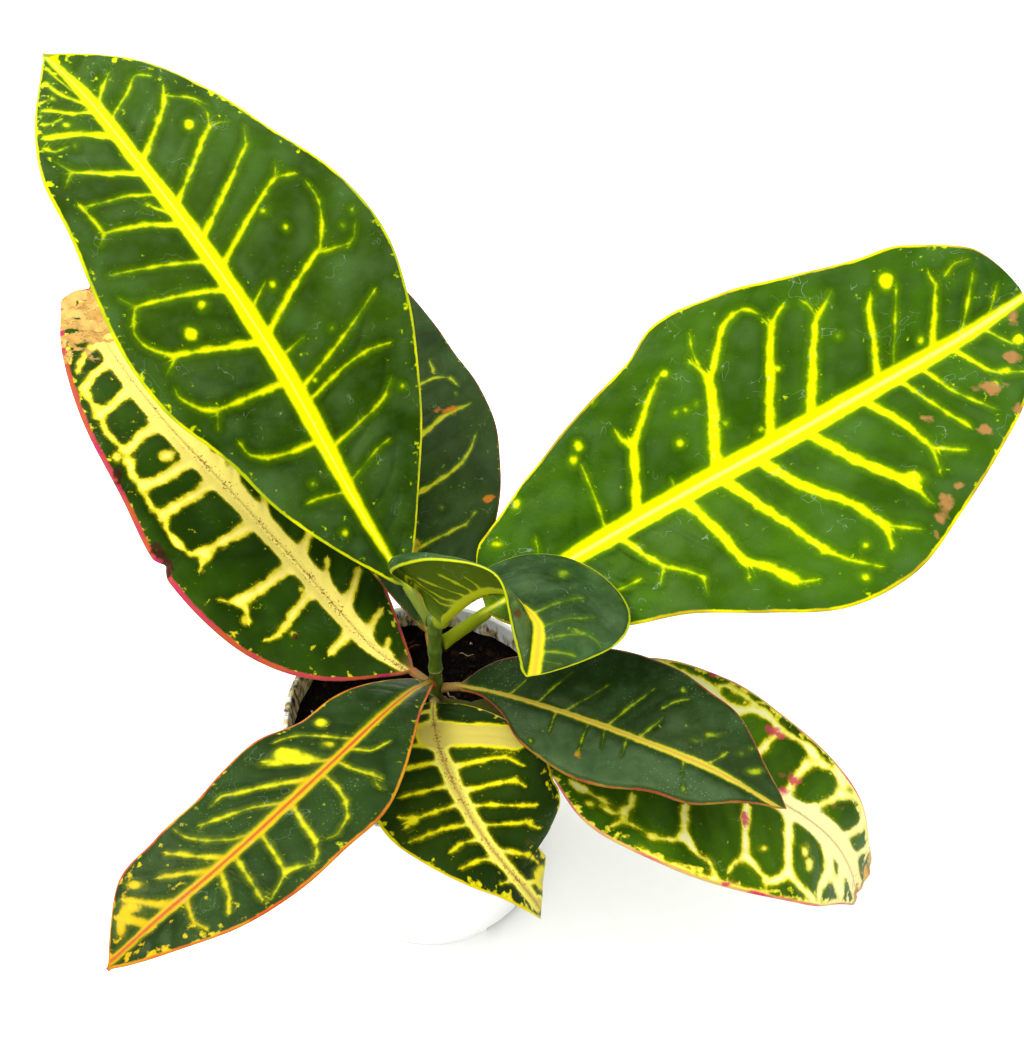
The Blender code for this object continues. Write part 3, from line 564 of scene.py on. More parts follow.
            (5, 3, (624, 812), (622, 820), (612, 826)), (3, 3, (655, 838), (642, 830), (626, 822)),
            (9, 8, (685, 808), (684, 822), (685, 838)), (5, 3, (685, 838), (670, 840), (648, 836)),
            (6, 5, (686, 838), (696, 853), (706, 861)), (10, 8, (746, 808), (745, 832), (746, 856)),
            (6, 4, (744, 858), (734, 863), (729, 872)), (7, 5, (748, 858), (757, 870), (767, 880)),
            (11, 9, (788, 818), (788, 845), (788, 870)), (8, 8, (786, 872), (778, 880), (766, 882)),
            (8, 6, (790, 874), (801, 888), (812, 898)), (11, 9, (824, 838), (827, 856), (828, 872)),
            (8, 7, (826, 874), (820, 886), (819, 894)), (8, 7, (829, 874), (836, 885), (840, 894)),
            (7, 6, (845, 858), (840, 872), (840, 888)),
            (4, 4, (640, 850), (668, 863), (700, 875)), (5, 5, (700, 875), (730, 885), (762, 895)),
            (7, 7, (762, 896), (800, 906), (840, 908)), (4, 4, (708, 861), (712, 868), (714, 878))],
        drops=[(804, 852, 4, 6), (808, 864, 4, 7), (764, 849, 3, 2), (590, 804, 4, 3)],
        stains=[(744, 814, 2, 3), (745, 824, 3, 4), (794, 781, 6, 4), (783, 790, 5, 5), (769, 727, 3, 4),
                (773, 733, 4, 4), (780, 737, 5, 3),
                (712, 674, 4, 3), (700, 857, 5, 4), (758, 895, 9, 2), (724, 884, 8, 2)],
        brown=[(787, 776, 3, 1), (839, 808, 2, 1), (854, 905, 3, 5)]),
    "leaf_9": dict(
        rib=[(3, 519, 601), (6, 530, 607), (12, 538, 618), (15, 539, 634), (15, 538, 648), (15, 536, 662)],
        left=[
            (2, 1, (540, 640), (560, 636), (586, 634)), (2, 1, (540, 628), (562, 620), (592, 618)),
            (2, 1, (538, 652), (556, 652), (575, 656)), (2, 1, (536, 612), (556, 604), (580, 598)),
            (3, 1, (536, 660), (548, 662), (560, 664)), (1, 1, (575, 630), (592, 638), (600, 646))],
        right=[
            (2, 1, (478, 598), (450, 590), (420, 578)), (2, 1, (484, 597), (462, 585), (440, 574)),
            (2, 1, (490, 597), (478, 585), (465, 576)), (2, 1, (470, 600), (440, 596), (408, 588)),
            (2, 1, (464, 601), (440, 602), (416, 598))],
        drops=[(562, 574, 6, 3)], brown=[(518, 614, 3, 7)]),
}
DRAWING["leaf_2"]["brown"] = [(1012, 357, 7, 6), (990, 389, 13, 6), (985, 430, 5, 4), (945, 503, 7, 6),
                              (943, 519, 6, 4), (1013, 318, 4, 6), (958, 487, 3, 3), (936, 534, 2, 3),
                              (925, 420, 4, 2), (976, 462, 2, 4), (1018, 410, 3, 3)]
DRAWING["leaf_3"]["brown"] = [(164, 570, 9, 10), (158, 553, 6, 10), (119, 476, 3, 9), (292, 637, 3, 3)]
print(sum(len(d["left"]) + len(d["right"]) for d in DRAWING.values()), "veins are drawn by hand")


# %% [markdown]
# Looking a picture point up on a leaf is a search: the nearest grid point first, and then a short
# step to where the picture point falls between its neighbours. The search keeps to one half of the
# leaf, because the young leaf folds over itself and one pixel may lie on both halves. The same
# neighbours tell how the camera stretches the sheet there, so a width in pixels becomes the true
# width on the blade, also where the blade is seen at a slant.

# %% From the picture to the flat sheet
WIDEST_PIXEL, CALM_ROWS = 1.3, 15


def on_sheet(sheet, point, half):
    """The flat place of a picture point, and the matrix from flat millimetres to pixels there."""
    middle = sheet["cells"]
    columns = {"left": slice(0, middle + 1), "right": slice(middle, None),
               "both": slice(None)}[half]
    blade = np.argmax(sheet["u"] >= 0)
    picture, reach = sheet["picture"][blade:, columns], sheet["reach"][blade:, columns]
    walked = sheet["walked"][blade:]
    miss = ((picture - np.asarray(point)) ** 2).sum(-1)
    i, j = np.unravel_index(miss.argmin(), miss.shape)
    i, j = np.clip(i, 1, miss.shape[0] - 2), np.clip(j, 1, miss.shape[1] - 2)
    pixels = np.stack([picture[i + 1, j] - picture[i - 1, j],
                       picture[i, j + 1] - picture[i, j - 1]], 1)
    flat = np.array([[walked[i + 1] - walked[i - 1], 0],
                     [reach[i + 1, j] - reach[i - 1, j], reach[i, j + 1] - reach[i, j - 1]]])
    step = np.linalg.lstsq(pixels, np.asarray(point) - picture[i, j], rcond=None)[0]
    place = np.array([walked[i], reach[i, j]]) + flat @ np.clip(step, -1, 1)
    return place, pixels @ np.linalg.inv(flat)


def true_width(stretch, way):
    """How many millimetres across a stroke one pixel of its width is."""
    across = np.linalg.norm(stretch @ way) / max(abs(np.linalg.det(stretch)), 1e-6)
    return min(across, WIDEST_PIXEL)


def as_strokes(points, halves, pieces=4):
    """Rows of x1, y1, x2, y2 and two half widths: a smooth path as short straight pieces."""
    points = np.asarray(points)
    share = np.linspace(0, 1, (len(points) - 1) * pieces + 1)
    path = np.stack([through(points[:, k], share) for k in (0, 1)], -1)
    half = np.interp(share, np.linspace(0, 1, len(halves)), halves)
    return np.column_stack([path[:-1], path[1:], half[:-1], half[1:]])


def rib_line(sheet, rib):
    """The drawn midrib at each row: how far beside the grid's middle it runs, and its half width."""
    spots = [(sheet["leaf"]["petiole"], 0.0, 1.0)]
    for pixels, *point in rib:
        place, stretch = on_sheet(sheet, point, "both")
        spots.append((*place, pixels / 2 * true_width(stretch, np.array([1.0, 0.0]))))
    x, y, half = zip(*spots)
    calm = np.ones(2 * CALM_ROWS + 1) / (2 * CALM_ROWS + 1)
    lines = [np.interp(sheet["walked"], x, values) for values in (y, half)]
    return [np.convolve(np.pad(line, CALM_ROWS, mode="edge"), calm, "valid") for line in lines]


for name, sheet in grown.items():
    sheet["centre"], sheet["rib_half"] = rib_line(sheet, DRAWING[name]["rib"])
    print(name, "midrib up to", 2 * sheet["rib_half"].max().round(1), "mm wide, beside the middle by",
          sheet["centre"].min().round(1), "to", sheet["centre"].max().round(1), "mm")


# %% [markdown]
# Where a leaf hides behind another, nothing shows how it is drawn, and yet it is seen from the other
# sides. There the plant's own rule takes over: side veins leave the midrib every centimetre or so at
# about sixty degrees and bend towards the tip. The same veins fill in between the drawn ones, where
# they are green, because a vein without colour still dents the blade.

# %% Side veins by rule
VEIN_SPACING, SPACING_JITTER, JOIN_REACH, STARTS_BESIDE, TOO_NEAR = 9.5, 1.2, 9.0, 6, 5
VEIN_COURSE = ((0, 0), (0.22, 0.42), (0.42, 0.70), (0.72, 0.93))
rng =np.random.default_rng(7)


def rule_veins(sheet, half):
    """The flat paths of evenly spaced side veins on one half."""
    leaf = sheet["leaf"]
    direction = -1 if half == "left" else 1
    blade = leaf["length"] - leaf["petiole"]
    spacing = VEIN_SPACING * min(1.0, (blade / 200) ** 0.5)
    for x in np.arange(leaf["petiole"] + spacing, leaf["length"] - spacing, spacing):
        x += rng.uniform(-SPACING_JITTER, SPACING_JITTER)
        width = float(half_width(leaf, half, np.array([(x - leaf["petiole"]) / blade]))[0])
        reach = min(width, (leaf["length"] - x) * 0.9)
        yield [(x + ahead * reach, direction * out * width) for ahead, out in VEIN_COURSE]


def drawn_vein(sheet, half, start, end, points):
    """One drawn vein on the flat sheet, led on to the midrib if it begins beside it."""
    found = [on_sheet(sheet, point, half) for point in points]
    path = np.array([place for place, _ in found])
    ways = np.gradient(path, axis=0)
    ways /= np.maximum(np.linalg.norm(ways, axis=1, keepdims=True), 1e-6)
    pixels = np.linspace(start, end, len(path))
    halves = [size / 2 * true_width(stretch, way)
              for size, (_, stretch), way in zip(pixels, found, ways)]
    off = path[0][1] - np.interp(path[0][0], sheet["walked"], sheet["centre"])
    if abs(off) < JOIN_REACH and off * ways[0][1] > 0 and abs(ways[0][1]) > 0.3:
        path = np.vstack([path[0] - ways[0] * off / ways[0][1], path])
        halves = [halves[0] * 1.25, *halves]
    return as_strokes(path, halves)


def strokes_of(name):
    """Yellow strokes and plain strokes of one leaf, on its flat sheet."""
    sheet, drawing = grown[name], DRAWING[name]
    leaf = sheet["leaf"]
    blade = leaf["length"] - leaf["petiole"]
    yellow, plain = [], []
    for half in ("left", "right"):
        veins = [drawn_vein(sheet, half, start, end, points)
                 for start, end, *points in drawing[half]]
        starts = [rows[0, 0] for rows in veins if abs(rows[0, 1]) < STARTS_BESIDE]
        yellow += veins
        low, high = drawing.get("hidden", {}).get(half, (1, 0))
        for path in rule_veins(sheet, half):
            share = (path[0][0] - leaf["petiole"]) / blade
            if low <= share <= high:
                reach = rng.uniform(0.55, 0.85)
                kept = [(x, y * reach / VEIN_COURSE[-1][1]) for x, y in path]
                yellow.append(as_strokes(kept, drawing.get("hidden_width", (1.2, 0.4))))
            elif not any(abs(path[0][0] - begun) < TOO_NEAR for begun in starts):
                plain.append(as_strokes(path, (0.2, 0.1)))
    return yellow, plain


strokes = {name: strokes_of(name) for name in LEAVES}
for name, (yellow, plain) in strokes.items():
    print(name, len(yellow), "yellow veins,", len(plain), "green ones")


# %% [markdown]
# The finish needs to know, at each point of the blade, how far it is to the nearest yellow stroke. A
# plain distance has its low point between two grid points and loses a thin vein, so the distance is
# kept with a sign that changes across the vein's middle: straight lines between grid points then
# pass through zero exactly where the vein runs. Half way between two veins the sign flips too, and
# there the plain distance, which the finish also reads, tells it that no vein is near.

# %% Distances on the sheet
FAR = 12.0


def to_stroke(flat, rows):
    """The distance to one vein, the side of it that a point lies on, and its half width there."""
    a, run = rows[:, 0:2], rows[:, 2:4] - rows[:, 0:2]
    p = flat[:, None]
    t = np.clip(((p - a) * run).sum(-1) / np.maximum((run ** 2).sum(1), 1e-9), 0, 1)
    off = p - (a + t[..., None] * run)
    distance = np.sqrt((off ** 2).sum(-1))
    wide = rows[:, 4] + (rows[:, 5] - rows[:, 4]) * t
    best = (distance - wide).argmin(1)
    pick = np.arange(len(best))
    turn = run[best, 0] * off[pick, best, 1] - run[best, 1] * off[pick, best, 0]
    return distance[pick, best], np.where(turn < 0, -1, 1), wide[pick, best]


def vein_fields(flat, yellow, plain, fillet):
    """Signed distance, half width, distance to any vein, and how much softened yellow is near."""
    side, half, rib = np.full(len(flat), FAR), np.full(len(flat), 0.1), np.full(len(flat), FAR)
    soft = np.zeros(len(flat))
    for rows in [*yellow, *plain]:
        ends = rows[:, :4].reshape(-1, 2)
        near = np.flatnonzero(((flat > ends.min(0) - FAR) & (flat < ends.max(0) + FAR)).all(1))
        if not len(near):
            continue
        distance, way, wide = to_stroke(flat[near], rows)
        rib[near] = np.minimum(rib[near], distance)
        if any(rows is one for one in yellow):
            closer = distance - wide < np.abs(side[near]) - half[near]
            side[near[closer]], half[near[closer]] = (way * distance)[closer], wide[closer]
            soft[near] += np.exp(-np.clip(distance - wide, -FAR, FAR) / fillet)
    return side, half, rib, soft


def drop_distance(sheet, flat, drops):
    """The distance in millimetres to the edge of the nearest drop, less than zero inside it."""
    nearest = np.full(len(flat), FAR)
    for x, y, wide, high in drops:
        centre, stretch = on_sheet(sheet, (x, y), "both")
        inside = np.linalg.norm((flat - centre) @ stretch.T / (wide, high), axis=1)
        size = min(wide, high) / math.sqrt(max(abs(np.linalg.det(stretch)), 0.5))
        nearest = np.minimum(nearest, (inside - 1) * size)
    return nearest


# %% [markdown]
# A soft, seeded ripple breaks up what would be too even: the blades, the dry tips, the bark, the soil
# and the twigs. It is a sum of a few waves in turned directions, which is enough at this size.


# %% Ripples
def ripple(points, size, seed, waves=7):
    """A soft uneven field between about -1 and 1, with bumps of the given size."""
    draw = np.random.default_rng(seed)
    total = np.zeros(points.shape[:-1])
    for _ in range(waves):
        way = draw.normal(size=points.shape[-1])
        way *= draw.uniform(0.7, 1.6) / np.linalg.norm(way)
        total += np.sin(points @ way * math.tau / (2 * size) + draw.uniform(0, math.tau))
    return total / math.sqrt(waves)


# %% [markdown]
# The blade's relief is real geometry. The midrib stands in a shallow channel, each side vein lies in
# a fine groove, and the blade swells a little between the veins, as leather does between its seams.
# Below, the veins stand out instead. The margin is thinned so that it reads as a soft rounded edge.

# %% The leaf's mesh
GROOVE, GROOVE_HALF, SWELL, SWELL_REACH, WAVINESS = 0.20, 0.8, 0.34, 4.0, 0.10
RIDGE, RIDGE_HALF, CHANNEL, CHANNEL_HALF = 0.35, 0.9, 0.45, 2.6
CALM_MARGIN, EDGE_BAND, DRY_BLEND, DRY_CRUMPLE, DRY_MARGIN = 3.0, 0.8, 0.03, 0.5, 2.0
DRY_TIP ={"leaf_3": 0.80, "leaf_8": 0.95}


def quads(rows, columns, first, flip):
    """Index rows for the faces of a grid of points."""
    i, j = np.meshgrid(np.arange(rows - 1), np.arange(columns - 1), indexing="ij")
    a = (first + i * columns + j).ravel()
    corners = np.stack([a, a + 1, a + columns + 1, a + columns], 1)
    return corners[:, ::-1] if flip else corners


def closed_quads(rows, columns):
    """Index rows for an upper and a lower grid of points, closed along all four sides."""
    size = rows * columns
    faces = [quads(rows, columns, 0, False), quads(rows, columns, size, True)]
    for first, flip in ((0, False), (columns - 1, True)):
        a = first + np.arange(rows - 1) * columns
        strip = np.stack([a, a + columns, a + columns + size, a + size], 1)
        faces.append(strip[:, ::-1] if flip else strip)
    for first, flip in ((0, False), ((rows - 1) * columns, True)):
        a = first + np.arange(columns - 1)
        strip = np.stack([a, a + size, a + 1 + size, a + 1], 1)
        faces.append(strip[:, ::-1] if flip else strip)
    return np.concatenate(faces)


def tube_quads(rings, sides):
    """Index rows for the faces between rings of points, each ring joined to itself."""
    i, j = np.meshgrid(np.arange(rings - 1), np.arange(sides), indexing="ij")
    k = (j + 1) % sides
    return np.stack([i * sides + j, i * sides + k, (i + 1) * sides + k, (i + 1) * sides + j],
                    -1).reshape(-1, 4)


def close_ends(piece):
    """Close a tube's open ends, and turn every face outwards."""
    bm = bmesh.new()
    bm.from_mesh(piece.data)
    bmesh.ops.holes_fill(bm, edges=bm.edges, sides=0)
    bmesh.ops.recalc_face_normals(bm, faces=bm.faces)
    bm.to_mesh(piece.data)
    bm.free()
    return piece


def mesh_object(name, points, faces, attributes=None):
    """A smooth object in metres from points in millimetres and faces with four corners."""
    mesh = bpy.data.meshes.new(name)
    mesh.vertices.add(len(points))
    mesh.vertices.foreach_set("co", (points * MM).astype(np.float32).ravel())
    mesh.loops.add(faces.size)
    mesh.loops.foreach_set("vertex_index", faces.astype(np.int32).ravel())
    mesh.polygons.add(len(faces))
    mesh.polygons.foreach_set("loop_start",
                              np.arange(0, faces.size, faces.shape[1], dtype=np.int32))
    mesh.polygons.foreach_set("use_smooth", np.ones(len(faces), bool))
    mesh.update(calc_edges=True)
    for key, values in (attributes or {}).items():
        layer = mesh.attributes.new(key, "FLOAT", "POINT")
        layer.data.foreach_set("value", np.asarray(values, np.float32).ravel())
    piece = bpy.data.objects.new(name, mesh)
    bpy.context.scene.collection.objects.link(piece)
    return piece


def blade_relief(name, sheet, flat, rib, sideways, margin):
    """How far the blade's upper face rises at each point over its plain thickness."""
    waves = WAVINESS * ripple(flat / [1.6, 1], 5, 3).reshape(rib.shape)
    relief = (-GROOVE * np.exp(-(rib / GROOVE_HALF) ** 2)
              + SWELL * (1 - np.exp(-(rib / SWELL_REACH) ** 2)) + waves) * ease(1, 6, sideways)
    relief += (RIDGE * np.exp(-(sideways / RIDGE_HALF) ** 2)
               - CHANNEL * np.exp(-(sideways / CHANNEL_HALF) ** 2))
    relief *= sheet["body"][:, None] * np.clip(margin / CALM_MARGIN, 0, 1)
    if name in DRY_TIP:
        dry = ease(DRY_TIP[name] - DRY_BLEND, DRY_TIP[name] + DRY_BLEND, sheet["u"])[:, None]
        crumple = DRY_CRUMPLE * ripple(flat, 3.5, 11).reshape(rib.shape)
        relief += dry * crumple * np.clip(margin / DRY_MARGIN, 0, 1)
    return relief


def leaf_object(name):
    """A leaf as one closed mesh that carries its drawing as distances in millimetres."""
    sheet, drawing = grown[name], DRAWING[name]
    leaf, u, reach, normal = (sheet[key] for key in ("leaf", "u", "reach", "normal"))
    body = sheet["body"][:, None]
    walked = np.broadcast_to(sheet["walked"][:, None], reach.shape)
    flat = np.stack([walked, reach], -1).reshape(-1, 2)
    width = np.where(sheet["t"] < 0, sheet["left"][:, None], sheet["right"][:, None])
    margin = width * (1 - np.abs(sheet["t"]))
    fillet = drawing.get("fillet", 0.35)
    beside = reach - sheet["centre"][:, None]
    sideways = np.abs(beside)
    beyond = sideways - sheet["rib_half"][:, None]
    vein_side, vein_half, rib, soft = vein_fields(flat, *strokes[name], fillet)
    soft += np.exp(-np.clip(beyond.ravel(), -FAR, FAR) / fillet)
    bold = np.minimum(-fillet * np.log(np.maximum(soft, 1e-12)), FAR)
    drops, stain, brown = (drop_distance(sheet, flat, drawing.get(key, []))
                           for key in ("drops", "stains", "brown"))
    relief = blade_relief(name, sheet, flat, rib.reshape(reach.shape), sideways, margin)
    round_height = sheet["stalk"][:, None] * np.sqrt(1 - 0.96 * sheet["t"] ** 2)
    edge = np.sqrt(1 - 0.8 * (1 - np.clip(margin / EDGE_BAND, 0, 1)) ** 2)
    keel = KEEL_DEPTH * (1 - 0.75 * np.maximum(u, 0)) * ease(0, 3, sheet["left"] + sheet["right"])
    keel = keel[:, None] * np.exp(-(sideways / KEEL_HALF_WIDTH) ** 2)
    half = BLADE_THICKNESS / 2 * edge
    above = round_height * (1 - body) + (half + relief) * body
    below = round_height * (1 - body) + (half + keel - 0.9 * relief) * body
    foot = (1 - ease(0, FOOT_LENGTH / leaf["length"], sheet["share"]))[:, None, None]
    rise = np.radians(through(leaf["rise"], sheet["share"]))
    upright = np.stack([0 * rise, 0 * rise, 1 / np.cos(rise)], -1)[:, None]
    normal = np.where(foot > 0, normal * (1 - foot) + upright * foot, normal)
    top = sheet["place"] + normal * above[..., None]
    bottom = sheet["place"] - normal * below[..., None]
    points = np.concatenate([top.reshape(-1, 3), bottom.reshape(-1, 3)])
    both = {
        "bold": np.minimum(bold, drops), "vein_side": vein_side, "vein_far": np.abs(vein_side),
        "vein_half": vein_half, "margin": margin, "rib": rib, "reach": beside, "beyond": beyond,
        "along": np.broadcast_to(u[:, None], reach.shape), "stain": stain, "brown": brown}
    attributes = {key: np.tile(np.ravel(values), 2) for key, values in both.items()}
    attributes["under"] = np.repeat([0.0, 1.0], reach.size)
    return mesh_object(name + "_grown", points, closed_quads(*reach.shape), attributes)


leaf_pieces = {name: leaf_object(name) for name in LEAVES}
for name, piece in leaf_pieces.items():
    print(piece.name, 2 * len(piece.data.polygons), "triangles")

# %% [markdown]
# The leaf's finish is one waxy leather. Its yellow is not paint but blade without green in it, so the
# same gloss runs over both. Edges of the drawing are ragged on the scale of the leaf's smallest
# veins, about half a millimetre. Old leaves fade from yellow to cream beside the midrib, and some
# margins turn orange or red. Below, the leaf is paler and duller.

# %% Leaf colours
# Greens go from dark to light. The edge is the olive rim of each yellow shape, band the midrib's own
# colour, line the thin line along its middle. Widths, and how ragged an edge is, are millimetres.
LOOKS = {
    "leaf_1": dict(dark="#182e03", light="#284408", edge="#547400", yellow="#d0ce02", band="#dcd802",
                   line="#dcd45c", line_mm=0.32, line_strength=0.7, margin="#c4c404", margin_mm=0.9,
                   margin_also="#9aa408", petiole="#6e7c30", gloss=0.38, ragged=0.24, swell=2.6,
                   rim=1.1, mottle=7.0, tip_mottle=0.12, marks=0.6, dust=0.5, bloom_and_sheen=0.4, fringe=0.02),
    "leaf_2": dict(dark="#1c3a03", light="#2d5008", edge="#628400", yellow="#d4d002", band="#dedc02",
                   line="#dedc70", line_mm=0.8, line_strength=0.6, margin="#c6c204", margin_mm=1.0,
                   margin_also="#a08c10", petiole="#6c7a10", gloss=0.36, ragged=0.24, swell=2.6,
                   rim=1.1, mottle=3.0, tip_mottle=0.06, marks=1.0, dust=0.5, bloom_and_sheen=0.3, brown="#8c6238",
                   fringe=0.03),
    "leaf_3": dict(dark="#162a03", light="#243f06", edge="#a09a0c", yellow="#d2c42c", band="#eedb6c",
                   line="#8a5a38", line_mm=0.4, line_strength=0.4, margin="#a01c48", margin_mm=1.7,
                   margin_also="#a4442c", petiole="#8f7040", gloss=0.42, ragged=0.5, swell=3.6, rim=0.5,
                   mottle=6.0, tip_mottle=0.14, marks=0.3, dust=0.4, speckle=0.8, tip="#dcb852",
                   brown="#2c0d10", deep=0.7),
    "leaf_4": dict(dark="#14240a", light="#20330c", edge="#566c08", yellow="#a09c18", band="#a0741c",
                   line="#a05818", line_mm=0.7, line_strength=0.5, margin="#6a3a18", margin_mm=0.4,
                   petiole="#8a6a34", gloss=0.38, ragged=0.3, swell=3.0, rim=0.7, mottle=2.0,
                   tip_mottle=0.0, marks=0.4, dust=0.6, stain="#a8600c", sheen="#d0f0a0", bloom_and_sheen=0.2),
    "leaf_5": dict(dark="#142508", light="#20360f", edge="#6a7606", yellow="#b8b010", band="#b89410",
                   line="#9c3e1e", line_mm=0.55, line_strength=0.9, margin="#a84016", margin_mm=0.7,
                   margin_also="#b07818", petiole="#93502a", gloss=0.36, ragged=0.28, swell=2.6, rim=0.8,
                   mottle=4.5, tip_mottle=0.11, marks=0.5, dust=1.0, tip="#ae8806", sheen="#d0f0a0",
                   patch="#c0b414", bloom_and_sheen=0.12, fringe=0.03),
    "leaf_6": dict(dark="#0e1e04", light="#182c06", edge="#8e8a04", yellow="#ccc010", band="#d6cc54",
                   line="#8a5a32", line_mm=0.4, line_strength=0.5, margin="#ccc004", margin_mm=0.7,
                   margin_also="#c0a808", petiole="#8a7a48", gloss=0.42, ragged=0.4, swell=2.6, rim=0.5,
                   mottle=5.0, tip_mottle=0.08, marks=0.2, dust=0.4, speckle=0.7, patch="#b8a84c", deep=0.8,
                   fringe=0.14, stain="#3c5008", brown="#3a3408"),
    "leaf_7": dict(dark="#112206", light="#1c3110", edge="#445808", yellow="#828c0c", band="#a89a28",
                   line="#a07040", line_mm=0.4, line_strength=0.6, margin="#7e2c18", margin_mm=0.5,
                   margin_also="#7e5c18", petiole="#8a6c38", gloss=0.38, ragged=0.34, swell=2.6, rim=0.6,
                   mottle=0.2, tip_mottle=0.0, marks=0.2, dust=1.6, sheen="#d0f0a0", bloom_and_sheen=0.25,
                   pale="#3c5030", pale_half=(0.55, 0.05), stain="#946a10"),
    "leaf_8": dict(dark="#243e04", light="#3a5c06", edge="#98960a", yellow="#d6ce3c", band="#dcd898",
                   line="#a07850", line_mm=0.5, line_strength=0.6, margin="#b45a58", margin_mm=0.8,
                   margin_also="#c09a50", petiole="#4c4a20", gloss=0.42, ragged=0.45, swell=3.0, rim=0.6,
                   mottle=7.0, tip_mottle=0.10, marks=0.3, dust=0.4, speckle=0.3, tip="#d4cc88", deep=0.6,
                   fringe=0.15, stain="#b02848", shaded=0.19),
    "leaf_9": dict(dark="#182c0e", light="#24401c", edge="#4a640c", yellow="#76880f", band="#c0b412",
                   line="#b08434", line_mm=0.7, line_strength=0.5, margin="#a2ac08", margin_mm=0.8,
                   petiole="#7c8a1c", gloss=0.26, ragged=0.3, swell=2.0, rim=0.7, mottle=0.2,
                   tip_mottle=0.0, marks=0.9, dust=0.4, under="#44580a", under_yellow="#98a010",
                   sheen="#d8f4b0", bloom_and_sheen=0.5, pale="#4c6434", pale_half=(0.85, 0.3), brown="#54301c"),
}
# A leaf has these looks where it says nothing else.
COMMON = dict(fringe=0.10, bloom_and_sheen=0.1, deep=1.2, shaded=0.03, stain="#b8344e", brown="#7a4a2c",
              under="#4a6222", under_yellow="#9ca048", sheen="#cbff38")
print(len(LOOKS), "leaves have looks of their own")


# %% Where the leaf is yellow
def read_drawing(tree, looks):
    """The drawing as masks: how far a point lies outside the yellow, and what follows from that."""
    keys = ("bold", "vein_side", "vein_far", "vein_half", "margin", "rib", "reach", "beyond", "along",
            "stain", "brown", "under")
    read = {key: add(tree, "Attribute", attribute_name=key).outputs["Fac"] for key in keys}
    place = read["place"] = add(tree, "TexCoord").outputs["Object"]
    fine = add(tree, "TexNoise", {"Vector": place, "Scale": 750.0, "Detail": 5.0, "Roughness": 0.7})
    fine = add(tree, "Math", {0: fine, 1: 0.5}, operation="SUBTRACT")
    wide = add(tree, "TexNoise", {"Vector": place, "Scale": 210.0, "Detail": 3.0})
    wide = read["wide"] = add(tree, "Math", {0: wide, 1: 0.5}, operation="SUBTRACT")
    swell = add(tree, "MapRange", {0: read["beyond"], 1: 0.3, 2: 2.5, 3: 1.0, 4: looks["swell"]})
    uneven = add(tree, "Math", {0: wide, 1: swell}, operation="MULTIPLY")
    read["fray"] = add(tree, "Math", {0: fine, 1: 2.6 * looks["ragged"], 2: uneven},
                       operation="MULTIPLY_ADD")
    rim = looks["rim"]
    away = add(tree, "Math", {0: read["vein_side"]}, operation="ABSOLUTE")
    far = add(tree, "Math", {0: read["vein_far"], 1: 0.75 * GRID_ALONG}, operation="SUBTRACT")
    away = add(tree, "Math", {0: away, 1: far}, operation="MAXIMUM")
    vein = add(tree, "Math", {0: away, 1: read["vein_half"]}, operation="SUBTRACT")
    read["drawn"] = add(tree, "Math", {0: vein, 1: read["bold"]}, operation="MINIMUM")
    ragged = add(tree, "Math", {0: read["drawn"], 1: read["fray"]}, operation="ADD")
    read["mask"] = add(tree, "MapRange", {0: ragged, 1: 0.5 * rim, 2: -0.5 * rim},
                       interpolation_type="SMOOTHSTEP")
    read["core"] = add(tree, "MapRange", {0: ragged, 1: -0.05 * rim, 2: -1.2 * rim})
    read["halo"] = add(tree, "MapRange", {0: ragged, 1: 1.8 * rim, 2: 0.1, 3: 0.0, 4: 0.28})
    zone = add(tree, "MapRange", {0: read["margin"], 1: looks["mottle"], 2: -0.5, 3: -0.12,
                                  4: looks["fringe"]})
    read["ragged"] = ragged
    tip = add(tree, "MapRange", {0: read["along"], 1: 0.70, 2: 1.0, 3: 0.0, 4: looks["tip_mottle"]})
    zone = add(tree, "Math", {0: zone, 1: tip}, operation="ADD")
    spots = add(tree, "TexNoise", {"Vector": place, "Scale": 330.0, "Detail": 4.0})
    spots = add(tree, "Math", {0: spots, 1: zone}, operation="ADD")
    bright = add(tree, "MapRange", {0: spots, 1: 0.60, 2: 0.72})
    read["core"] = add(tree, "Math", {0: read["core"], 1: bright}, operation="MAXIMUM")
    spots = add(tree, "MapRange", {0: spots, 1: 0.56, 2: 0.64}, interpolation_type="SMOOTHSTEP")
    read["mask"] = add(tree, "Math", {0: read["mask"], 1: spots}, operation="MAXIMUM")
    return read


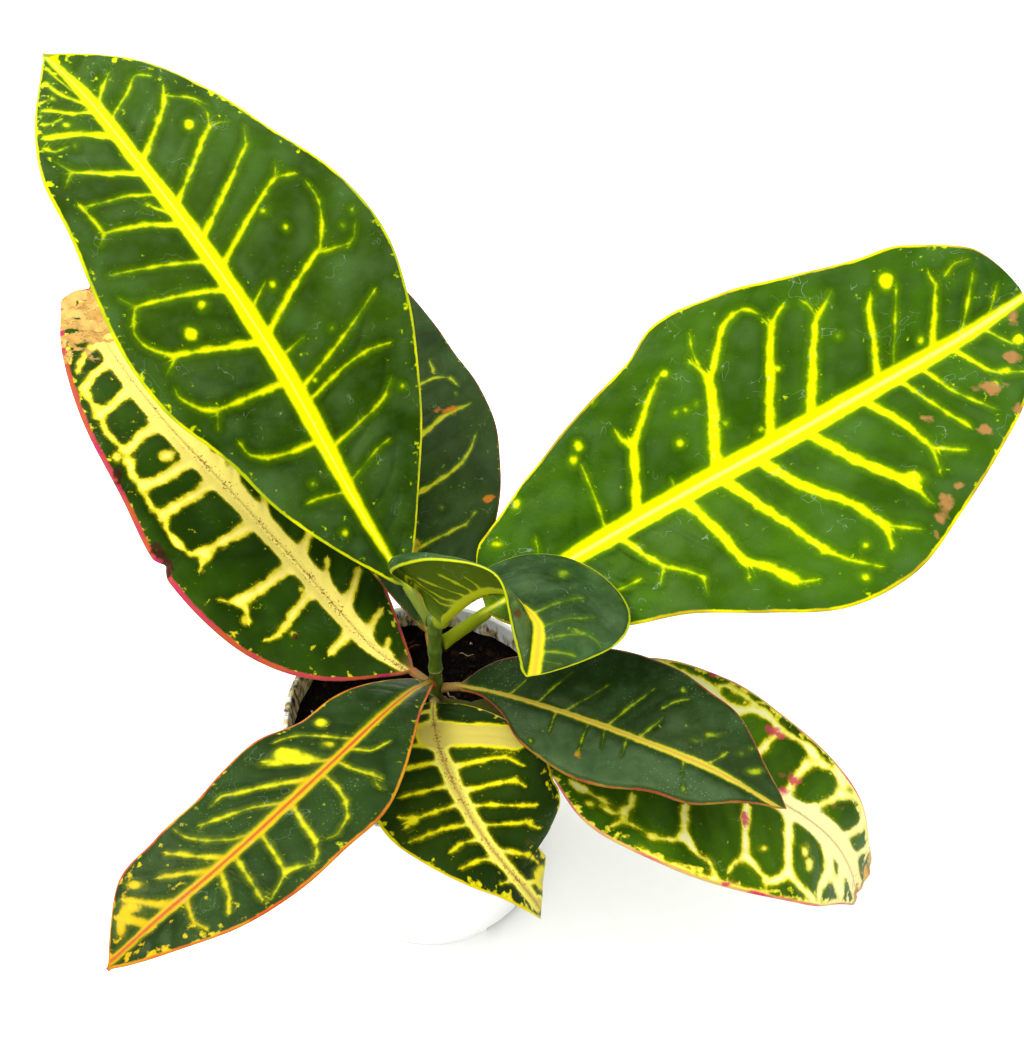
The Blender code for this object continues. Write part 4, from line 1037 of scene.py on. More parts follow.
# %% The leaf's green and its yellow
def leaf_hues(tree, read, looks):
    """Green blade with fine flecks, and yellow shapes with an olive rim and their own midrib."""
    read["broad"] = add(tree, "TexNoise", {"Vector": read["place"], "Scale": 45.0, "Detail": 3.0})
    patch = add(tree, "MapRange", {0: read["broad"], 1: 0.35, 2: 0.65})
    # Within three millimetres of any vein the green darkens: painted shade in the vein grooves.
    groove_shade = add(tree, "MapRange", {0: read["rib"], 1: 0.0, 2: 3.0, 3: 0.25, 4: 0.0})
    patch = add(tree, "Math", {0: patch, 1: groove_shade}, operation="SUBTRACT", use_clamp=True)
    green = add(tree, "Mix", {0: patch, 6: linear(looks["dark"]), 7: linear(looks["light"])})
    # Grey-green is mixed into the middle of each panel between the veins: partly bloom and dust on the wax,
    # partly painted sheen where the swollen panels catch the light.
    bloom_and_sheen = add(tree, "TexNoise",
                {"Vector": read["place"], "Scale": 60.0, "Detail": 3.0, "Roughness": 0.55})
    bloom_and_sheen = add(tree, "MapRange", {0: bloom_and_sheen, 1: 0.40, 2: 0.70, 3: 0.0, 4: looks["bloom_and_sheen"]})
    panel = add(tree, "MapRange", {0: read["drawn"], 1: 0.6, 2: 5.0}, interpolation_type="SMOOTHSTEP")
    bloom_and_sheen = add(tree, "Math", {0: bloom_and_sheen, 1: panel}, operation="MULTIPLY")
    green = add(tree, "Mix", {0: bloom_and_sheen, 6: green, 7: linear("#46603a")})
    flecks = add(tree, "TexNoise",
                 {"Vector": read["place"], "Scale": 900.0, "Detail": 2.0, "Roughness": 0.4})
    clumps = add(tree, "MapRange", {0: read["broad"], 1: 0.3, 2: 0.7, 3: -0.02, 4: 0.02})
    near = add(tree, "MapRange", {0: read["drawn"], 1: 3.5, 2: 0.0, 3: -0.04, 4: 0.035})
    flecks = add(tree, "Math", {0: flecks, 1: near}, operation="ADD")
    flecks = add(tree, "Math", {0: flecks, 1: clumps}, operation="ADD")
    flecks = add(tree, "MapRange", {0: flecks, 1: 0.725, 2: 0.76, 3: 0.0, 4: 0.75})
    tint = add(tree, "Math", {0: flecks, 1: read["halo"]}, operation="MAXIMUM")
    green = add(tree, "Mix", {0: tint, 6: green, 7: linear(looks["edge"])})
    beyond = add(tree, "MapRange", {0: read["beyond"], 1: 0.0, 2: 3.0}, interpolation_type="SMOOTHSTEP")
    rich = add(tree, "Mix", {0: beyond, 6: linear(looks["band"]), 7: linear(looks["yellow"])})
    deep = add(tree, "MapRange", {0: read["ragged"], 1: -looks["deep"], 2: -2.5 * looks["deep"]})
    rich = add(tree, "Mix", {0: deep, 6: rich, 7: linear(looks.get("patch", looks["band"]))})
    yellow = add(tree, "Mix", {0: read["core"], 6: linear(looks["edge"]), 7: rich})
    read["sideways"] = add(tree, "Math", {0: read["reach"]}, operation="ABSOLUTE")
    line = add(tree, "Math", {0: read["fray"], 1: 0.4, 2: read["sideways"]}, operation="MULTIPLY_ADD")
    line = add(tree, "MapRange", {0: line, 1: looks["line_mm"] * 1.4, 2: looks["line_mm"] * 0.4,
                                  3: 0.0, 4: looks["line_strength"]})
    if "tip" in looks:
        warm = add(tree, "MapRange", {0: read["along"], 1: 0.72, 2: 0.98, 3: 0.0, 4: 0.9})
        yellow = add(tree, "Mix", {0: warm, 6: yellow, 7: linear(looks["tip"])})
    yellow = add(tree, "Mix", {0: line, 6: yellow, 7: linear(looks["line"])})
    return add(tree, "Mix", {0: read["mask"], 6: green, 7: yellow})


# %% Margin, stains and underside
def leaf_accents(tree, read, looks, colour, dry_from):
    """What lies over the drawing: speckles, margin, a half with painted sheen, stains, dry parts, stalk and its
    painted shade, underside.
    """
    if "speckle" in looks:
        specks = add(tree, "TexNoise", {"Vector": read["place"], "Scale": 1300.0, "Detail": 3.0})
        near = add(tree, "MapRange", {0: read["sideways"], 1: 3.2, 2: 0.2, 3: -0.10, 4: 0.06})
        specks = add(tree, "Math", {0: specks, 1: near}, operation="ADD")
        specks = add(tree, "Math", {0: read["wide"], 1: 0.4, 2: specks}, operation="MULTIPLY_ADD")
        fewer = add(tree, "MapRange", {0: read["along"], 1: 0.35, 2: 0.75, 3: 0.0, 4: -0.05})
        specks = add(tree, "Math", {0: specks, 1: fewer}, operation="ADD")
        specks = add(tree, "MapRange", {0: specks, 1: 0.585, 2: 0.66, 3: 0.0, 4: looks["speckle"]})
        inside = add(tree, "MapRange", {0: read["beyond"], 1: 0.0, 2: -1.0})
        specks = add(tree, "Math", {0: specks, 1: inside}, operation="MULTIPLY")
        colour = add(tree, "Mix", {0: specks, 6: colour, 7: linear("#6e3020")})
    rim = add(tree, "Math", {0: read["fray"], 1: 0.4, 2: read["margin"]}, operation="MULTIPLY_ADD")
    rim = add(tree, "MapRange", {0: rim, 1: looks["margin_mm"] + 0.3, 2: looks["margin_mm"] - 0.2})
    turn = add(tree, "TexNoise", {"Vector": read["place"], "Scale": 60.0, "Detail": 2.0})
    turn = add(tree, "MapRange", {0: turn, 1: 0.40, 2: 0.58})
    hem = add(tree, "Mix", {0: turn, 6: linear(looks["margin"]),
                            7: linear(looks.get("margin_also", looks["margin"]))})
    colour = add(tree, "Mix", {0: rim, 6: colour, 7: hem})
    # On leaf_7 and leaf_9 one half turns paler and greyer from a few millimetres beside the midrib: painted
    # sheen on the half that faces the light, on leaf_7 partly dust too.
    if "pale" in looks:
        strength, begins = looks["pale_half"]
        sheen_side = add(tree, "MapRange", {0: read["reach"], 1: 2.0, 2: 6.0, 3: 0.0, 4: strength})
        late = add(tree, "MapRange", {0: read["along"], 1: begins, 2: begins + 0.15})
        sheen_side = add(tree, "Math", {0: read["wide"], 1: 1.0, 2: sheen_side}, operation="MULTIPLY_ADD")
        open_green = add(tree, "MapRange", {0: read["drawn"], 1: 0.3, 2: 1.2})
        sheen_side = add(tree, "Math", {0: sheen_side, 1: open_green}, operation="MULTIPLY", use_clamp=True)
        sheen_side = add(tree, "Math", {0: sheen_side, 1: late}, operation="MULTIPLY")
        clear = add(tree, "MapRange", {0: read["margin"], 1: 1.0, 2: 2.0})
        sheen_side = add(tree, "Math", {0: sheen_side, 1: clear}, operation="MULTIPLY")
        colour = add(tree, "Mix", {0: sheen_side, 6: colour, 7: linear(looks["pale"])})
    for key, strength in (("stain", 0.9), ("brown", 0.95)):
        patch = add(tree, "Math", {0: read["wide"], 1: 3.0, 2: read[key]}, operation="MULTIPLY_ADD")
        patch = add(tree, "Math", {0: read["fray"], 1: 1.6, 2: patch}, operation="MULTIPLY_ADD")
        patch = add(tree, "MapRange", {0: patch, 1: 0.5, 2: -0.7, 3: 0.0, 4: strength})
        colour = add(tree, "Mix", {0: patch, 6: colour, 7: linear(looks[key])})
    under = add(tree, "Mix", {0: read["mask"], 6: linear(looks["under"]),
                              7: linear(looks["under_yellow"])})
    colour = add(tree, "Mix", {0: read["under"], 6: colour, 7: under})
    if dry_from:
        uneven = add(tree, "Math", {0: read["wide"], 1: 0.16, 2: read["along"]},
                     operation="MULTIPLY_ADD")
        uneven = add(tree, "Math", {0: read["fray"], 1: 0.01, 2: uneven}, operation="MULTIPLY_ADD")
        dry = add(tree, "MapRange", {0: uneven, 1: dry_from - 0.01, 2: dry_from + 0.01})
        still_green = add(tree, "TexNoise", {"Vector": read["place"], "Scale": 170.0, "Detail": 3.0})
        still_green = add(tree, "MapRange", {0: still_green, 1: 0.36, 2: 0.39})
        dry = add(tree, "Math", {0: dry, 1: still_green}, operation="MULTIPLY")
        blotch = add(tree, "TexNoise", {"Vector": read["place"], "Scale": 120.0, "Detail": 5.0})
        cracks = add(tree, "Math", {0: blotch, 1: 0.5}, operation="SUBTRACT")
        cracks = add(tree, "Math", {0: cracks}, operation="ABSOLUTE")
        cracks = add(tree, "MapRange", {0: cracks, 1: 0.014, 2: 0.004, 3: 0.0, 4: 0.7})
        blotch = add(tree, "MapRange", {0: blotch, 1: 0.35, 2: 0.65})
        tan = add(tree, "Mix", {0: blotch, 6: linear("#a87c3c"), 7: linear("#c09c54")})
        tan = add(tree, "Mix", {0: cracks, 6: tan, 7: linear("#6e4a26")})
        colour = add(tree, "Mix", {0: dry, 6: colour, 7: tan})
    # The stalk's colour runs onto the blade up to the share shaded; on leaf_8 its dark olive reaches almost a
    # fifth of the way and is painted shade over the blade's base.
    shaded = looks["shaded"]
    stalk = add(tree, "MapRange", {0: read["along"], 1: shaded, 2: shaded - 0.05})
    return add(tree, "Mix", {0: stalk, 6: colour, 7: linear(looks["petiole"])})


# %% Water marks, dust and gloss
def leaf_finish(name, looks):
    """Waxy leaf leather: the drawing, and on it a film of water marks and dust."""
    finish, tree, shader = new_finish("waxed_leaf_leather_" + name[-1])
    read = read_drawing(tree, looks)
    colour = leaf_hues(tree, read, looks)
    colour = leaf_accents(tree, read, looks, colour, DRY_TIP.get(name))
    marks = add(tree, "TexNoise",
                {"Vector": read["place"], "Scale": 130.0, "Detail": 2.0, "Distortion": 0.5})
    marks = add(tree, "Math", {0: marks, 1: 0.55}, operation="SUBTRACT")
    marks = add(tree, "Math", {0: marks}, operation="ABSOLUTE")
    marks = add(tree, "MapRange", {0: marks, 1: 0.006, 2: 0.0015, 3: 0.0, 4: 0.6 * looks["marks"]})
    where = add(tree, "TexNoise", {"Vector": read["place"], "Scale": 90.0, "Detail": 1.0})
    where = add(tree, "MapRange", {0: where, 1: 0.57, 2: 0.62})
    marks = add(tree, "Math", {0: marks, 1: where}, operation="MULTIPLY")
    dust = add(tree, "TexVoronoi", {"Vector": read["place"], "Scale": 900.0})
    settled = add(tree, "MapRange", {0: read["broad"], 1: 0.42, 2: 0.6, 3: 0.04,
                                     4: 0.08 + 0.09 * looks["dust"]})
    settled = add(tree, "Math", {0: settled, 1: dust}, operation="SUBTRACT")
    dust = add(tree, "MapRange", {0: settled, 1: 0.0, 2: 0.05, 3: 0.0, 4: 0.4 * min(looks["dust"], 1)})
    film = add(tree, "Math", {0: marks, 1: dust}, operation="MAXIMUM")
    colour = add(tree, "Mix", {0: film, 6: colour, 7: linear("#7d8a7a")})
    fine = add(tree, "TexNoise", {"Vector": read["place"], "Scale": 1300.0, "Detail": 3.0})
    waves = add(tree, "TexNoise", {"Vector": read["place"], "Scale": 260.0, "Detail": 2.0})
    height = add(tree, "Math", {0: waves, 1: 3.0, 2: fine}, operation="MULTIPLY_ADD")
    bump = add(tree, "Bump", {"Height": height, "Strength": 0.22, "Distance": 0.00035})
    rough = add(tree, "MapRange", {0: read["broad"], 1: 0.3, 2: 0.7, 3: looks["gloss"] - 0.05,
                                   4: looks["gloss"] + 0.08})
    rough = add(tree, "Math", {0: film, 1: 0.25, 2: rough}, operation="MULTIPLY_ADD")
    rough = add(tree, "Math", {0: read["under"], 1: 0.2, 2: rough}, operation="MULTIPLY_ADD")
    tree.links.new(colour.outputs[2], shader.inputs["Base Color"])
    tree.links.new(rough.outputs[0], shader.inputs["Roughness"])
    tree.links.new(bump.outputs[0], shader.inputs["Normal"])
    shader.inputs["IOR"].default_value = 1.45
    shader.inputs["Specular IOR Level"].default_value = 0.15
    shader.inputs["Specular Tint"].default_value = linear(looks["sheen"])
    return finish


for name, piece in leaf_pieces.items():
    settle(piece, leaf_finish(name, COMMON | LOOKS[name]), name)

# %% [markdown]
# The stem is a green shoot that turns brown at its foot. Each leaf leaves the stem at a swollen node,
# and each leaf that has dropped leaves a scar, a pale half ring. A turned tube with those swellings
# in its radius gives them their real relief.

# %% The stem
STEM_ROWS, STEM_SIDES = 150, 48
BARK_BUMP, SCAR_HEIGHT, BURIED = 0.07, 0.16, 12
SCARS =[(103.5, 200), (112.0, 40), (98.5, 330), (125.5, 150), (117.0, 290)]


def stem_object():
    """The stem as one tube with a rounded top: swollen at each node, with a ring at each scar."""
    z = np.concatenate([np.linspace(SOIL_TOP - BURIED, STEM_TOP_Z, STEM_ROWS),
                        STEM_TOP_Z + np.array([0.6, 1.1, 1.4, 1.6])])
    cap = np.concatenate([np.ones(STEM_ROWS), [0.9, 0.7, 0.45, 0.02]])
    turn = np.linspace(0, math.tau, STEM_SIDES, endpoint=False)
    nodes = np.array([leaf["z"] for leaf in LEAVES.values()])
    swell = np.minimum(np.exp(-((z[:, None] - nodes + 2.5) / NODE_SPREAD) ** 2).sum(1), 1)
    radius = (STEM_RADIUS + NODE_SWELL * swell)[:, None] * np.ones(STEM_SIDES)
    scar = np.zeros_like(radius)
    for height, way in SCARS:
        off = np.angle(np.exp(1j * (turn - math.radians(way))))
        ring = np.exp(-((z[:, None] - height - 0.5 * np.cos(off)) / 0.45) ** 2)
        scar += ring * ease(1.7, 1.1, np.abs(off))
    axis = np.array([stem_axis(value) for value in z])
    around = np.stack([np.cos(turn), np.sin(turn)], -1)
    wrapped = np.broadcast_arrays(z[:, None] / 2, 3 * np.cos(turn), 3 * np.sin(turn))
    uneven = BARK_BUMP * ripple(np.stack(wrapped, -1), 2.5, 5)
    radius = (radius + SCAR_HEIGHT * scar + uneven) * cap[:, None]
    points = np.concatenate([axis[:, None] + radius[..., None] * around,
                             np.broadcast_to(z[:, None, None], radius.shape + (1,))], -1)
    return close_ends(mesh_object("stem_grown", points.reshape(-1, 3),
                                  tube_quads(len(z), STEM_SIDES), {"scar": scar}))


def stem_finish():
    """Green bark with a brown foot, pale scars and fine lengthwise cracks."""
    finish, tree, shader = new_finish("green_shoot_bark")
    place = add(tree, "TexCoord").outputs["Object"]
    height = add(tree, "SeparateXYZ", {0: place}).outputs["Z"]
    stretched = add(tree, "Mapping", {"Vector": place, "Scale": (1, 1, 0.25)})
    grain = add(tree, "TexNoise", {"Vector": stretched, "Scale": 900.0, "Detail": 4.0})
    patch = add(tree, "TexNoise", {"Vector": place, "Scale": 160.0, "Detail": 2.0})
    green = add(tree, "Mix", {0: grain, 6: linear("#243c04"), 7: linear("#5c7818")})
    brown = add(tree, "Mix", {0: grain, 6: linear("#1e120e"), 7: linear("#6a4c38")})
    rise = add(tree, "Math", {0: patch, 1: 0.018, 2: height}, operation="MULTIPLY_ADD")
    share = add(tree, "MapRange", {0: rise, 1: 0.102, 2: 0.122}, interpolation_type="SMOOTHSTEP")
    colour = add(tree, "Mix", {0: share, 6: brown, 7: green})
    scar = add(tree, "Attribute", attribute_name="scar").outputs["Fac"]
    scar = add(tree, "MapRange", {0: scar, 1: 0.3, 2: 0.8, 3: 0.0, 4: 0.7})
    colour = add(tree, "Mix", {0: scar, 6: colour, 7: linear("#a8a06c")})
    bump = add(tree, "Bump", {"Height": grain, "Strength": 0.4, "Distance": 0.0003})
    tree.links.new(colour.outputs[2], shader.inputs["Base Color"])
    tree.links.new(bump.outputs[0], shader.inputs["Normal"])
    shader.inputs["Roughness"].default_value = 0.45
    return finish


settle(stem_object(), stem_finish(), "stem")

# %% [markdown]
# The pot is one injection-moulded piece of white plastic. It is turned from its profile, the quick
# way to any round vessel, with every edge rounded by a few points, and the drainage notches and
# holes are then cut as the mould's cores leave them.

# %% The pot
POT_HEIGHT, POT_RIM_RADIUS, POT_BASE_RADIUS, POT_WALL = 102.0, 52.5, 46.0, 1.2
RIM_BAND, RIM_BAND_HEIGHT, FOOT_HEIGHT, FOOT_RECESS, FOOT_WIDTH = 1.0, 4.0, 4.0, 0.9, 1.7
FLOOR_LIFT, FLOOR_THICKNESS, CENTRE_DISC, DISC_SLOPE, DISC_WALL = 4.3, 1.5, 28.0, 2.5, 1.0
NOTCH_ANGLES, NOTCH_WIDTH, NOTCH_DEPTH, NOTCH_HEIGHT = (318.0, 198.0, 78.0), 28.0, 8.0, 3.0
DRAIN_RADIUS, DRAIN_CIRCLE, DRAIN_SIDES, POT_SIDES = 4.5, 36.5, 40, 180


def pot_wall(z):
    """The wall's outer radius at a height."""
    return POT_BASE_RADIUS + (POT_RIM_RADIUS - RIM_BAND - POT_BASE_RADIUS) * z / POT_HEIGHT


def rounded(corners, steps=4):
    """A profile with each corner rounded: corners are radius, height and rounding radius."""
    points = []
    for index, (x, y, r) in enumerate(corners):
        here = np.array([x, y])
        if r == 0 or index in (0, len(corners) - 1):
            points.append(here)
            continue
        back = np.array(corners[index - 1][:2]) - here
        ahead = np.array(corners[index + 1][:2]) - here
        reach = min(r, 0.45 * np.linalg.norm(back), 0.45 * np.linalg.norm(ahead))
        start, end = (here + way / np.linalg.norm(way) * reach for way in (back, ahead))
        for t in np.linspace(0, 1, steps):
            points.append((1 - t) ** 2 * start + 2 * t * (1 - t) * here + t ** 2 * end)
    return points


def pot_profile():
    """The pot's section, from the middle of its underside round the rim to the middle of its floor."""
    foot =pot_wall(0) - FOOT_RECESS
    floor_top = FLOOR_LIFT + FLOOR_THICKNESS
    band = POT_HEIGHT - RIM_BAND_HEIGHT
    inner = pot_wall(POT_HEIGHT) - POT_WALL
    return rounded([
        (0, 0, 0), (CENTRE_DISC, 0, 0.8), (CENTRE_DISC + DISC_SLOPE, FLOOR_LIFT, 0.8),
        (foot - FOOT_WIDTH, FLOOR_LIFT, 0.5), (foot - FOOT_WIDTH, 0, 0.4), (foot, 0, 0.5),
        (foot, FOOT_HEIGHT, 0.3), (pot_wall(FOOT_HEIGHT), FOOT_HEIGHT + 0.5, 0.4),
        (pot_wall(band), band, 0.5), (POT_RIM_RADIUS - 0.1, band + 0.8, 0.6),
        (POT_RIM_RADIUS, POT_HEIGHT, 0.9), (inner, POT_HEIGHT, 0.6),
        (pot_wall(floor_top) - POT_WALL, floor_top, 1.0),
        (CENTRE_DISC + DISC_SLOPE - DISC_WALL, floor_top, 0.8),
        (CENTRE_DISC - DISC_WALL, FLOOR_THICKNESS, 0.8), (0, FLOOR_THICKNESS, 0)])


def make_plain(piece, modifier):
    """Keep what a modifier makes of a piece as the piece's own mesh."""
    graph = bpy.context.evaluated_depsgraph_get()
    shape = bpy.data.meshes.new_from_object(piece.evaluated_get(graph))
    piece.modifiers.remove(modifier)
    piece.data = shape


def cut(piece, tool):
    """Take a tool's shape out of a piece, and drop the tool."""
    modifier = piece.modifiers.new("cut", "BOOLEAN")
    modifier.solver = "EXACT"
    modifier.object = tool
    make_plain(piece, modifier)
    bpy.data.objects.remove(tool)


def pot_object():
    """The pot turned from its profile, with its foot notches and drain holes cut out."""
    bm = bmesh.new()
    points = [bm.verts.new((x * MM, 0, z * MM)) for x, z in pot_profile()]
    edges = [bm.edges.new(pair) for pair in zip(points, points[1:])]
    bmesh.ops.spin(bm, geom=points + edges, cent=(0, 0, 0), axis=(0, 0, 1), angle=math.tau,
                   steps=POT_SIDES, use_merge=True)
    bmesh.ops.remove_doubles(bm, verts=bm.verts, dist=1e-6)
    bmesh.ops.recalc_face_normals(bm, faces=bm.faces)
    mesh = bpy.data.meshes.new("pot_moulded")
    bm.to_mesh(mesh)
    bm.free()
    pot = bpy.data.objects.new("pot_moulded", mesh)
    bpy.context.scene.collection.objects.link(pot)
    reach = pot_wall(0) - FOOT_RECESS - FOOT_WIDTH
    floor = FLOOR_LIFT + FLOOR_THICKNESS / 2
    for angle in NOTCH_ANGLES:
        turn = math.radians(angle)
        way = np.array([math.cos(turn), math.sin(turn)])
        bpy.ops.mesh.primitive_cube_add(
            size=MM, location=(*(reach * way * MM), 0), rotation=(0, 0, turn),
            scale=(NOTCH_DEPTH, NOTCH_WIDTH, 2 * NOTCH_HEIGHT))
        cut(pot, bpy.context.object)
        bpy.ops.mesh.primitive_cylinder_add(
            vertices=DRAIN_SIDES, radius=DRAIN_RADIUS * MM, depth=4 * FLOOR_THICKNESS * MM,
            location=(*(DRAIN_CIRCLE * way * MM), floor * MM))
        cut(pot, bpy.context.object)
    pot.data.shade_smooth()
    pot.data.set_sharp_from_angle(angle=math.radians(35))
    return pot


# %% [markdown]
# White polypropylene is faintly cloudy and half glossy. This pot is clean outside, but its rim and
# the wall above the soil are streaked with dried potting mix, tan and black, heaviest on the left
# side. The dirt is kept to the rim by height and to the inside by radius.
# A thin grey line in the step above the foot is painted shade, where the step's recess lies in shadow.


# %% The pot's finish
def pot_finish():
    finish, tree, shader = new_finish("white_moulded_plastic")
    place = add(tree, "TexCoord").outputs["Object"]
    split = add(tree, "SeparateXYZ", {0: place})
    flat = add(tree, "CombineXYZ", {0: split.outputs["X"], 1: split.outputs["Y"]})
    radius = add(tree, "VectorMath", {0: flat}, operation="LENGTH").outputs["Value"]
    wall = add(tree, "Math", {0: split.outputs["Z"], 1: pot_wall(1) - pot_wall(0),
                              2: pot_wall(0) * MM}, operation="MULTIPLY_ADD")
    inward = add(tree, "Math", {0: wall, 1: radius}, operation="SUBTRACT")
    inside = add(tree, "MapRange", {0: inward, 1: 0.0006, 2: 0.0010})
    over = add(tree, "MapRange", {0: split.outputs["Z"], 1: 0.1013, 2: 0.1018})
    inside = add(tree, "Math", {0: inside, 1: over}, operation="MAXIMUM")
    upper = add(tree, "MapRange", {0: split.outputs["Z"], 1: 0.080, 2: 0.086})
    inside = add(tree, "Math", {0: inside, 1: upper}, operation="MULTIPLY")
    low = add(tree, "MapRange", {0: split.outputs["Z"], 1: 0.1022, 2: 0.0965})
    streaked = add(tree, "Mapping", {"Vector": place, "Scale": (1, 1, 0.35)})
    streaks = add(tree, "TexNoise",
                  {"Vector": streaked, "Scale": 260.0, "Detail": 6.0, "Roughness": 0.7})
    blots = add(tree, "TexNoise", {"Vector": place, "Scale": 90.0, "Detail": 3.0})
    more_on_left = add(tree, "MapRange", {0: split.outputs["X"], 1: 0.02, 2: -0.045, 3: -0.05, 4: 0.16})
    level = add(tree, "Math", {0: low, 1: 0.17, 2: more_on_left}, operation="MULTIPLY_ADD")
    level = add(tree, "Math", {0: blots, 1: 0.35, 2: level}, operation="MULTIPLY_ADD")
    dirt = add(tree, "Math", {0: streaks, 1: level}, operation="ADD")
    dirt = add(tree, "MapRange", {0: dirt, 1: 0.74, 2: 0.86})
    dirt = add(tree, "Math", {0: dirt, 1: inside}, operation="MULTIPLY")
    tone = add(tree, "TexNoise", {"Vector": streaked, "Scale": 480.0, "Detail": 4.0})
    tone = add(tree, "MapRange", {0: tone, 1: 0.40, 2: 0.60})
    soil_hue = add(tree, "Mix", {0: tone, 6: linear("#33261a"), 7: linear("#d0b888")})
    cloud = add(tree, "TexNoise", {"Vector": place, "Scale": 30.0, "Detail": 2.0})
    white = add(tree, "Mix", {0: cloud, 6: linear("#ececea"), 7: linear("#f6f6f4")})
    # Painted shade: a thin grey band in the step just above the foot.
    above = add(tree, "MapRange", {0: split.outputs["Z"], 1: 0.0018, 2: 0.0038})
    below = add(tree, "MapRange", {0: split.outputs["Z"], 1: 0.0050, 2: 0.0042})
    painted_foot_shade = add(tree, "Math", {0: above, 1: below}, operation="MULTIPLY")
    painted_foot_shade = add(tree, "Math", {0: painted_foot_shade, 1: 0.6}, operation="MULTIPLY")
    white = add(tree, "Mix", {0: painted_foot_shade, 6: white, 7: linear("#8f908a")})
    colour = add(tree, "Mix", {0: dirt, 6: white, 7: soil_hue})
    rough = add(tree, "MapRange", {0: dirt, 1: 0.0, 2: 1.0, 3: 0.32, 4: 0.85})
    skin = add(tree, "TexNoise", {"Vector": place, "Scale": 1500.0, "Detail": 2.0})
    height = add(tree, "Math", {0: dirt, 1: 4.0, 2: skin}, operation="MULTIPLY_ADD")
    bump = add(tree, "Bump", {"Height": height, "Strength": 0.12, "Distance": 0.0003})
    tree.links.new(colour.outputs[2], shader.inputs["Base Color"])
    tree.links.new(rough.outputs[0], shader.inputs["Roughness"])
    tree.links.new(bump.outputs[0], shader.inputs["Normal"])
    shader.inputs["IOR"].default_value = 1.49
    return finish


settle(pot_object(), pot_finish(), "pot")

# %% [markdown]
# Potting mix is peat, fine bark and a little perlite. A plain surface with bumps never looks like it,
# because real soil is a heap of crumbs with shadows between them. So the soil has two parts: a
# lumpy bed, and on it a layer of loose crumbs that Geometry Nodes scatter.

# %% The soil's bed
SOIL_RINGS, SOIL_SIDES, SOIL_BUMP, SOIL_WALL_DROP, SOIL_EDGE_DIP = 90, 160, 0.8, 1.0, 2.5
SOIL_DEPTH, SOIL_GAP, FIRST_RING, BED_DROP, LUMP, CRUMBLE = 14.0, 0.1, 0.4, 0.4, 0.35, 0.16


def soil_height(x, y):
    """The uneven top of the soil, a little lower at the wall."""
    bumps = np.sin(x * 0.21 + 1.0) * np.cos(y * 0.17) + 0.6 * np.sin(x * 0.43 - y * 0.38)
    bumps += 0.5 * np.cos(y * 0.52 + x * 0.12)
    return SOIL_TOP + SOIL_BUMP * bumps - SOIL_WALL_DROP * (np.hypot(x, y) / POT_RIM_RADIUS) ** 4


def soil_object():
    """The bed: lumpy rings out from the stem to the wall, and a skirt down into the pot."""
    edge = pot_wall(SOIL_TOP - SOIL_EDGE_DIP) - POT_WALL - SOIL_GAP
    share = np.linspace(0, 1, SOIL_RINGS)
    turn = np.linspace(0, math.tau, SOIL_SIDES, endpoint=False)
    radius = FIRST_RING + (edge - FIRST_RING) * share
    x = STEM_BASE[0] * (1 - share)[:, None] + radius[:, None] * np.cos(turn)
    y = STEM_BASE[1] * (1 - share)[:, None] + radius[:, None] * np.sin(turn)
    spots = np.stack([x, y], -1)
    z = soil_height(x, y) + (LUMP * ripple(spots, 2.2, 21) + CRUMBLE * ripple(spots, 0.9, 22))
    top = np.stack([x, y, z - BED_DROP], -1).reshape(-1, 3)
    wall = pot_wall(SOIL_TOP - SOIL_DEPTH) - POT_WALL - SOIL_GAP
    skirt = [wall * np.cos(turn), wall * np.sin(turn), 0 * turn + SOIL_TOP - SOIL_DEPTH]
    points = np.concatenate([top, np.stack(skirt, -1)])
    faces = tube_quads(SOIL_RINGS + 1, SOIL_SIDES)[:, [0, 3, 2, 1]]
    return close_ends(mesh_object("soil_bed", points, faces))


def soil_finish(name, dark, light, coarse):
    """Damp peat and bark, matte, with a grain of the given number of lumps in a metre."""
    finish, tree, shader = new_finish(name)
    place = add(tree, "TexCoord").outputs["Object"]
    lumps = add(tree, "TexNoise", {"Vector": place, "Scale": coarse, "Detail": 6.0, "Roughness": 0.7})
    tone = add(tree, "MapRange", {0: lumps, 1: 0.42, 2: 0.68})
    colour = add(tree, "Mix", {0: tone, 6: linear(dark), 7: linear(light)})
    bump = add(tree, "Bump", {"Height": lumps, "Strength": 0.8, "Distance": 0.0008})
    tree.links.new(colour.outputs[2], shader.inputs["Base Color"])
    tree.links.new(bump.outputs[0], shader.inputs["Normal"])
    shader.inputs["Roughness"].default_value = 0.9
    shader.inputs["Specular IOR Level"].default_value = 0.06
    return finish


soil_piece = soil_object()
settle(soil_piece, soil_finish("damp_peat", "#060403", "#150e0a", 500.0), "soil")

# %% [markdown]
# The crumbs are one Geometry Nodes tree, used once for each kind of grain. It scatters points over
# the bed, but not so near the wall that a grain would stick out through it, puts a roughened ball on
# each one at a random size and turn, and squashes the ball for flakes of bark. The seed is fixed, so
# the same crumbs fall each time.


# %% Crumbs by Geometry Nodes
INPUTS = (("Geometry", "Geometry", None), ("Density", "Float", 1e5), ("Smallest", "Float", 0.0005),
          ("Largest", "Float", 0.0015), ("Flatness", "Float", 0.7), ("Reach", "Float", 0.048),
          ("Lowest", "Float", 0.089), ("Roundness", "Int", 1), ("Seed", "Int", 1),
          ("Finish", "Material", None))


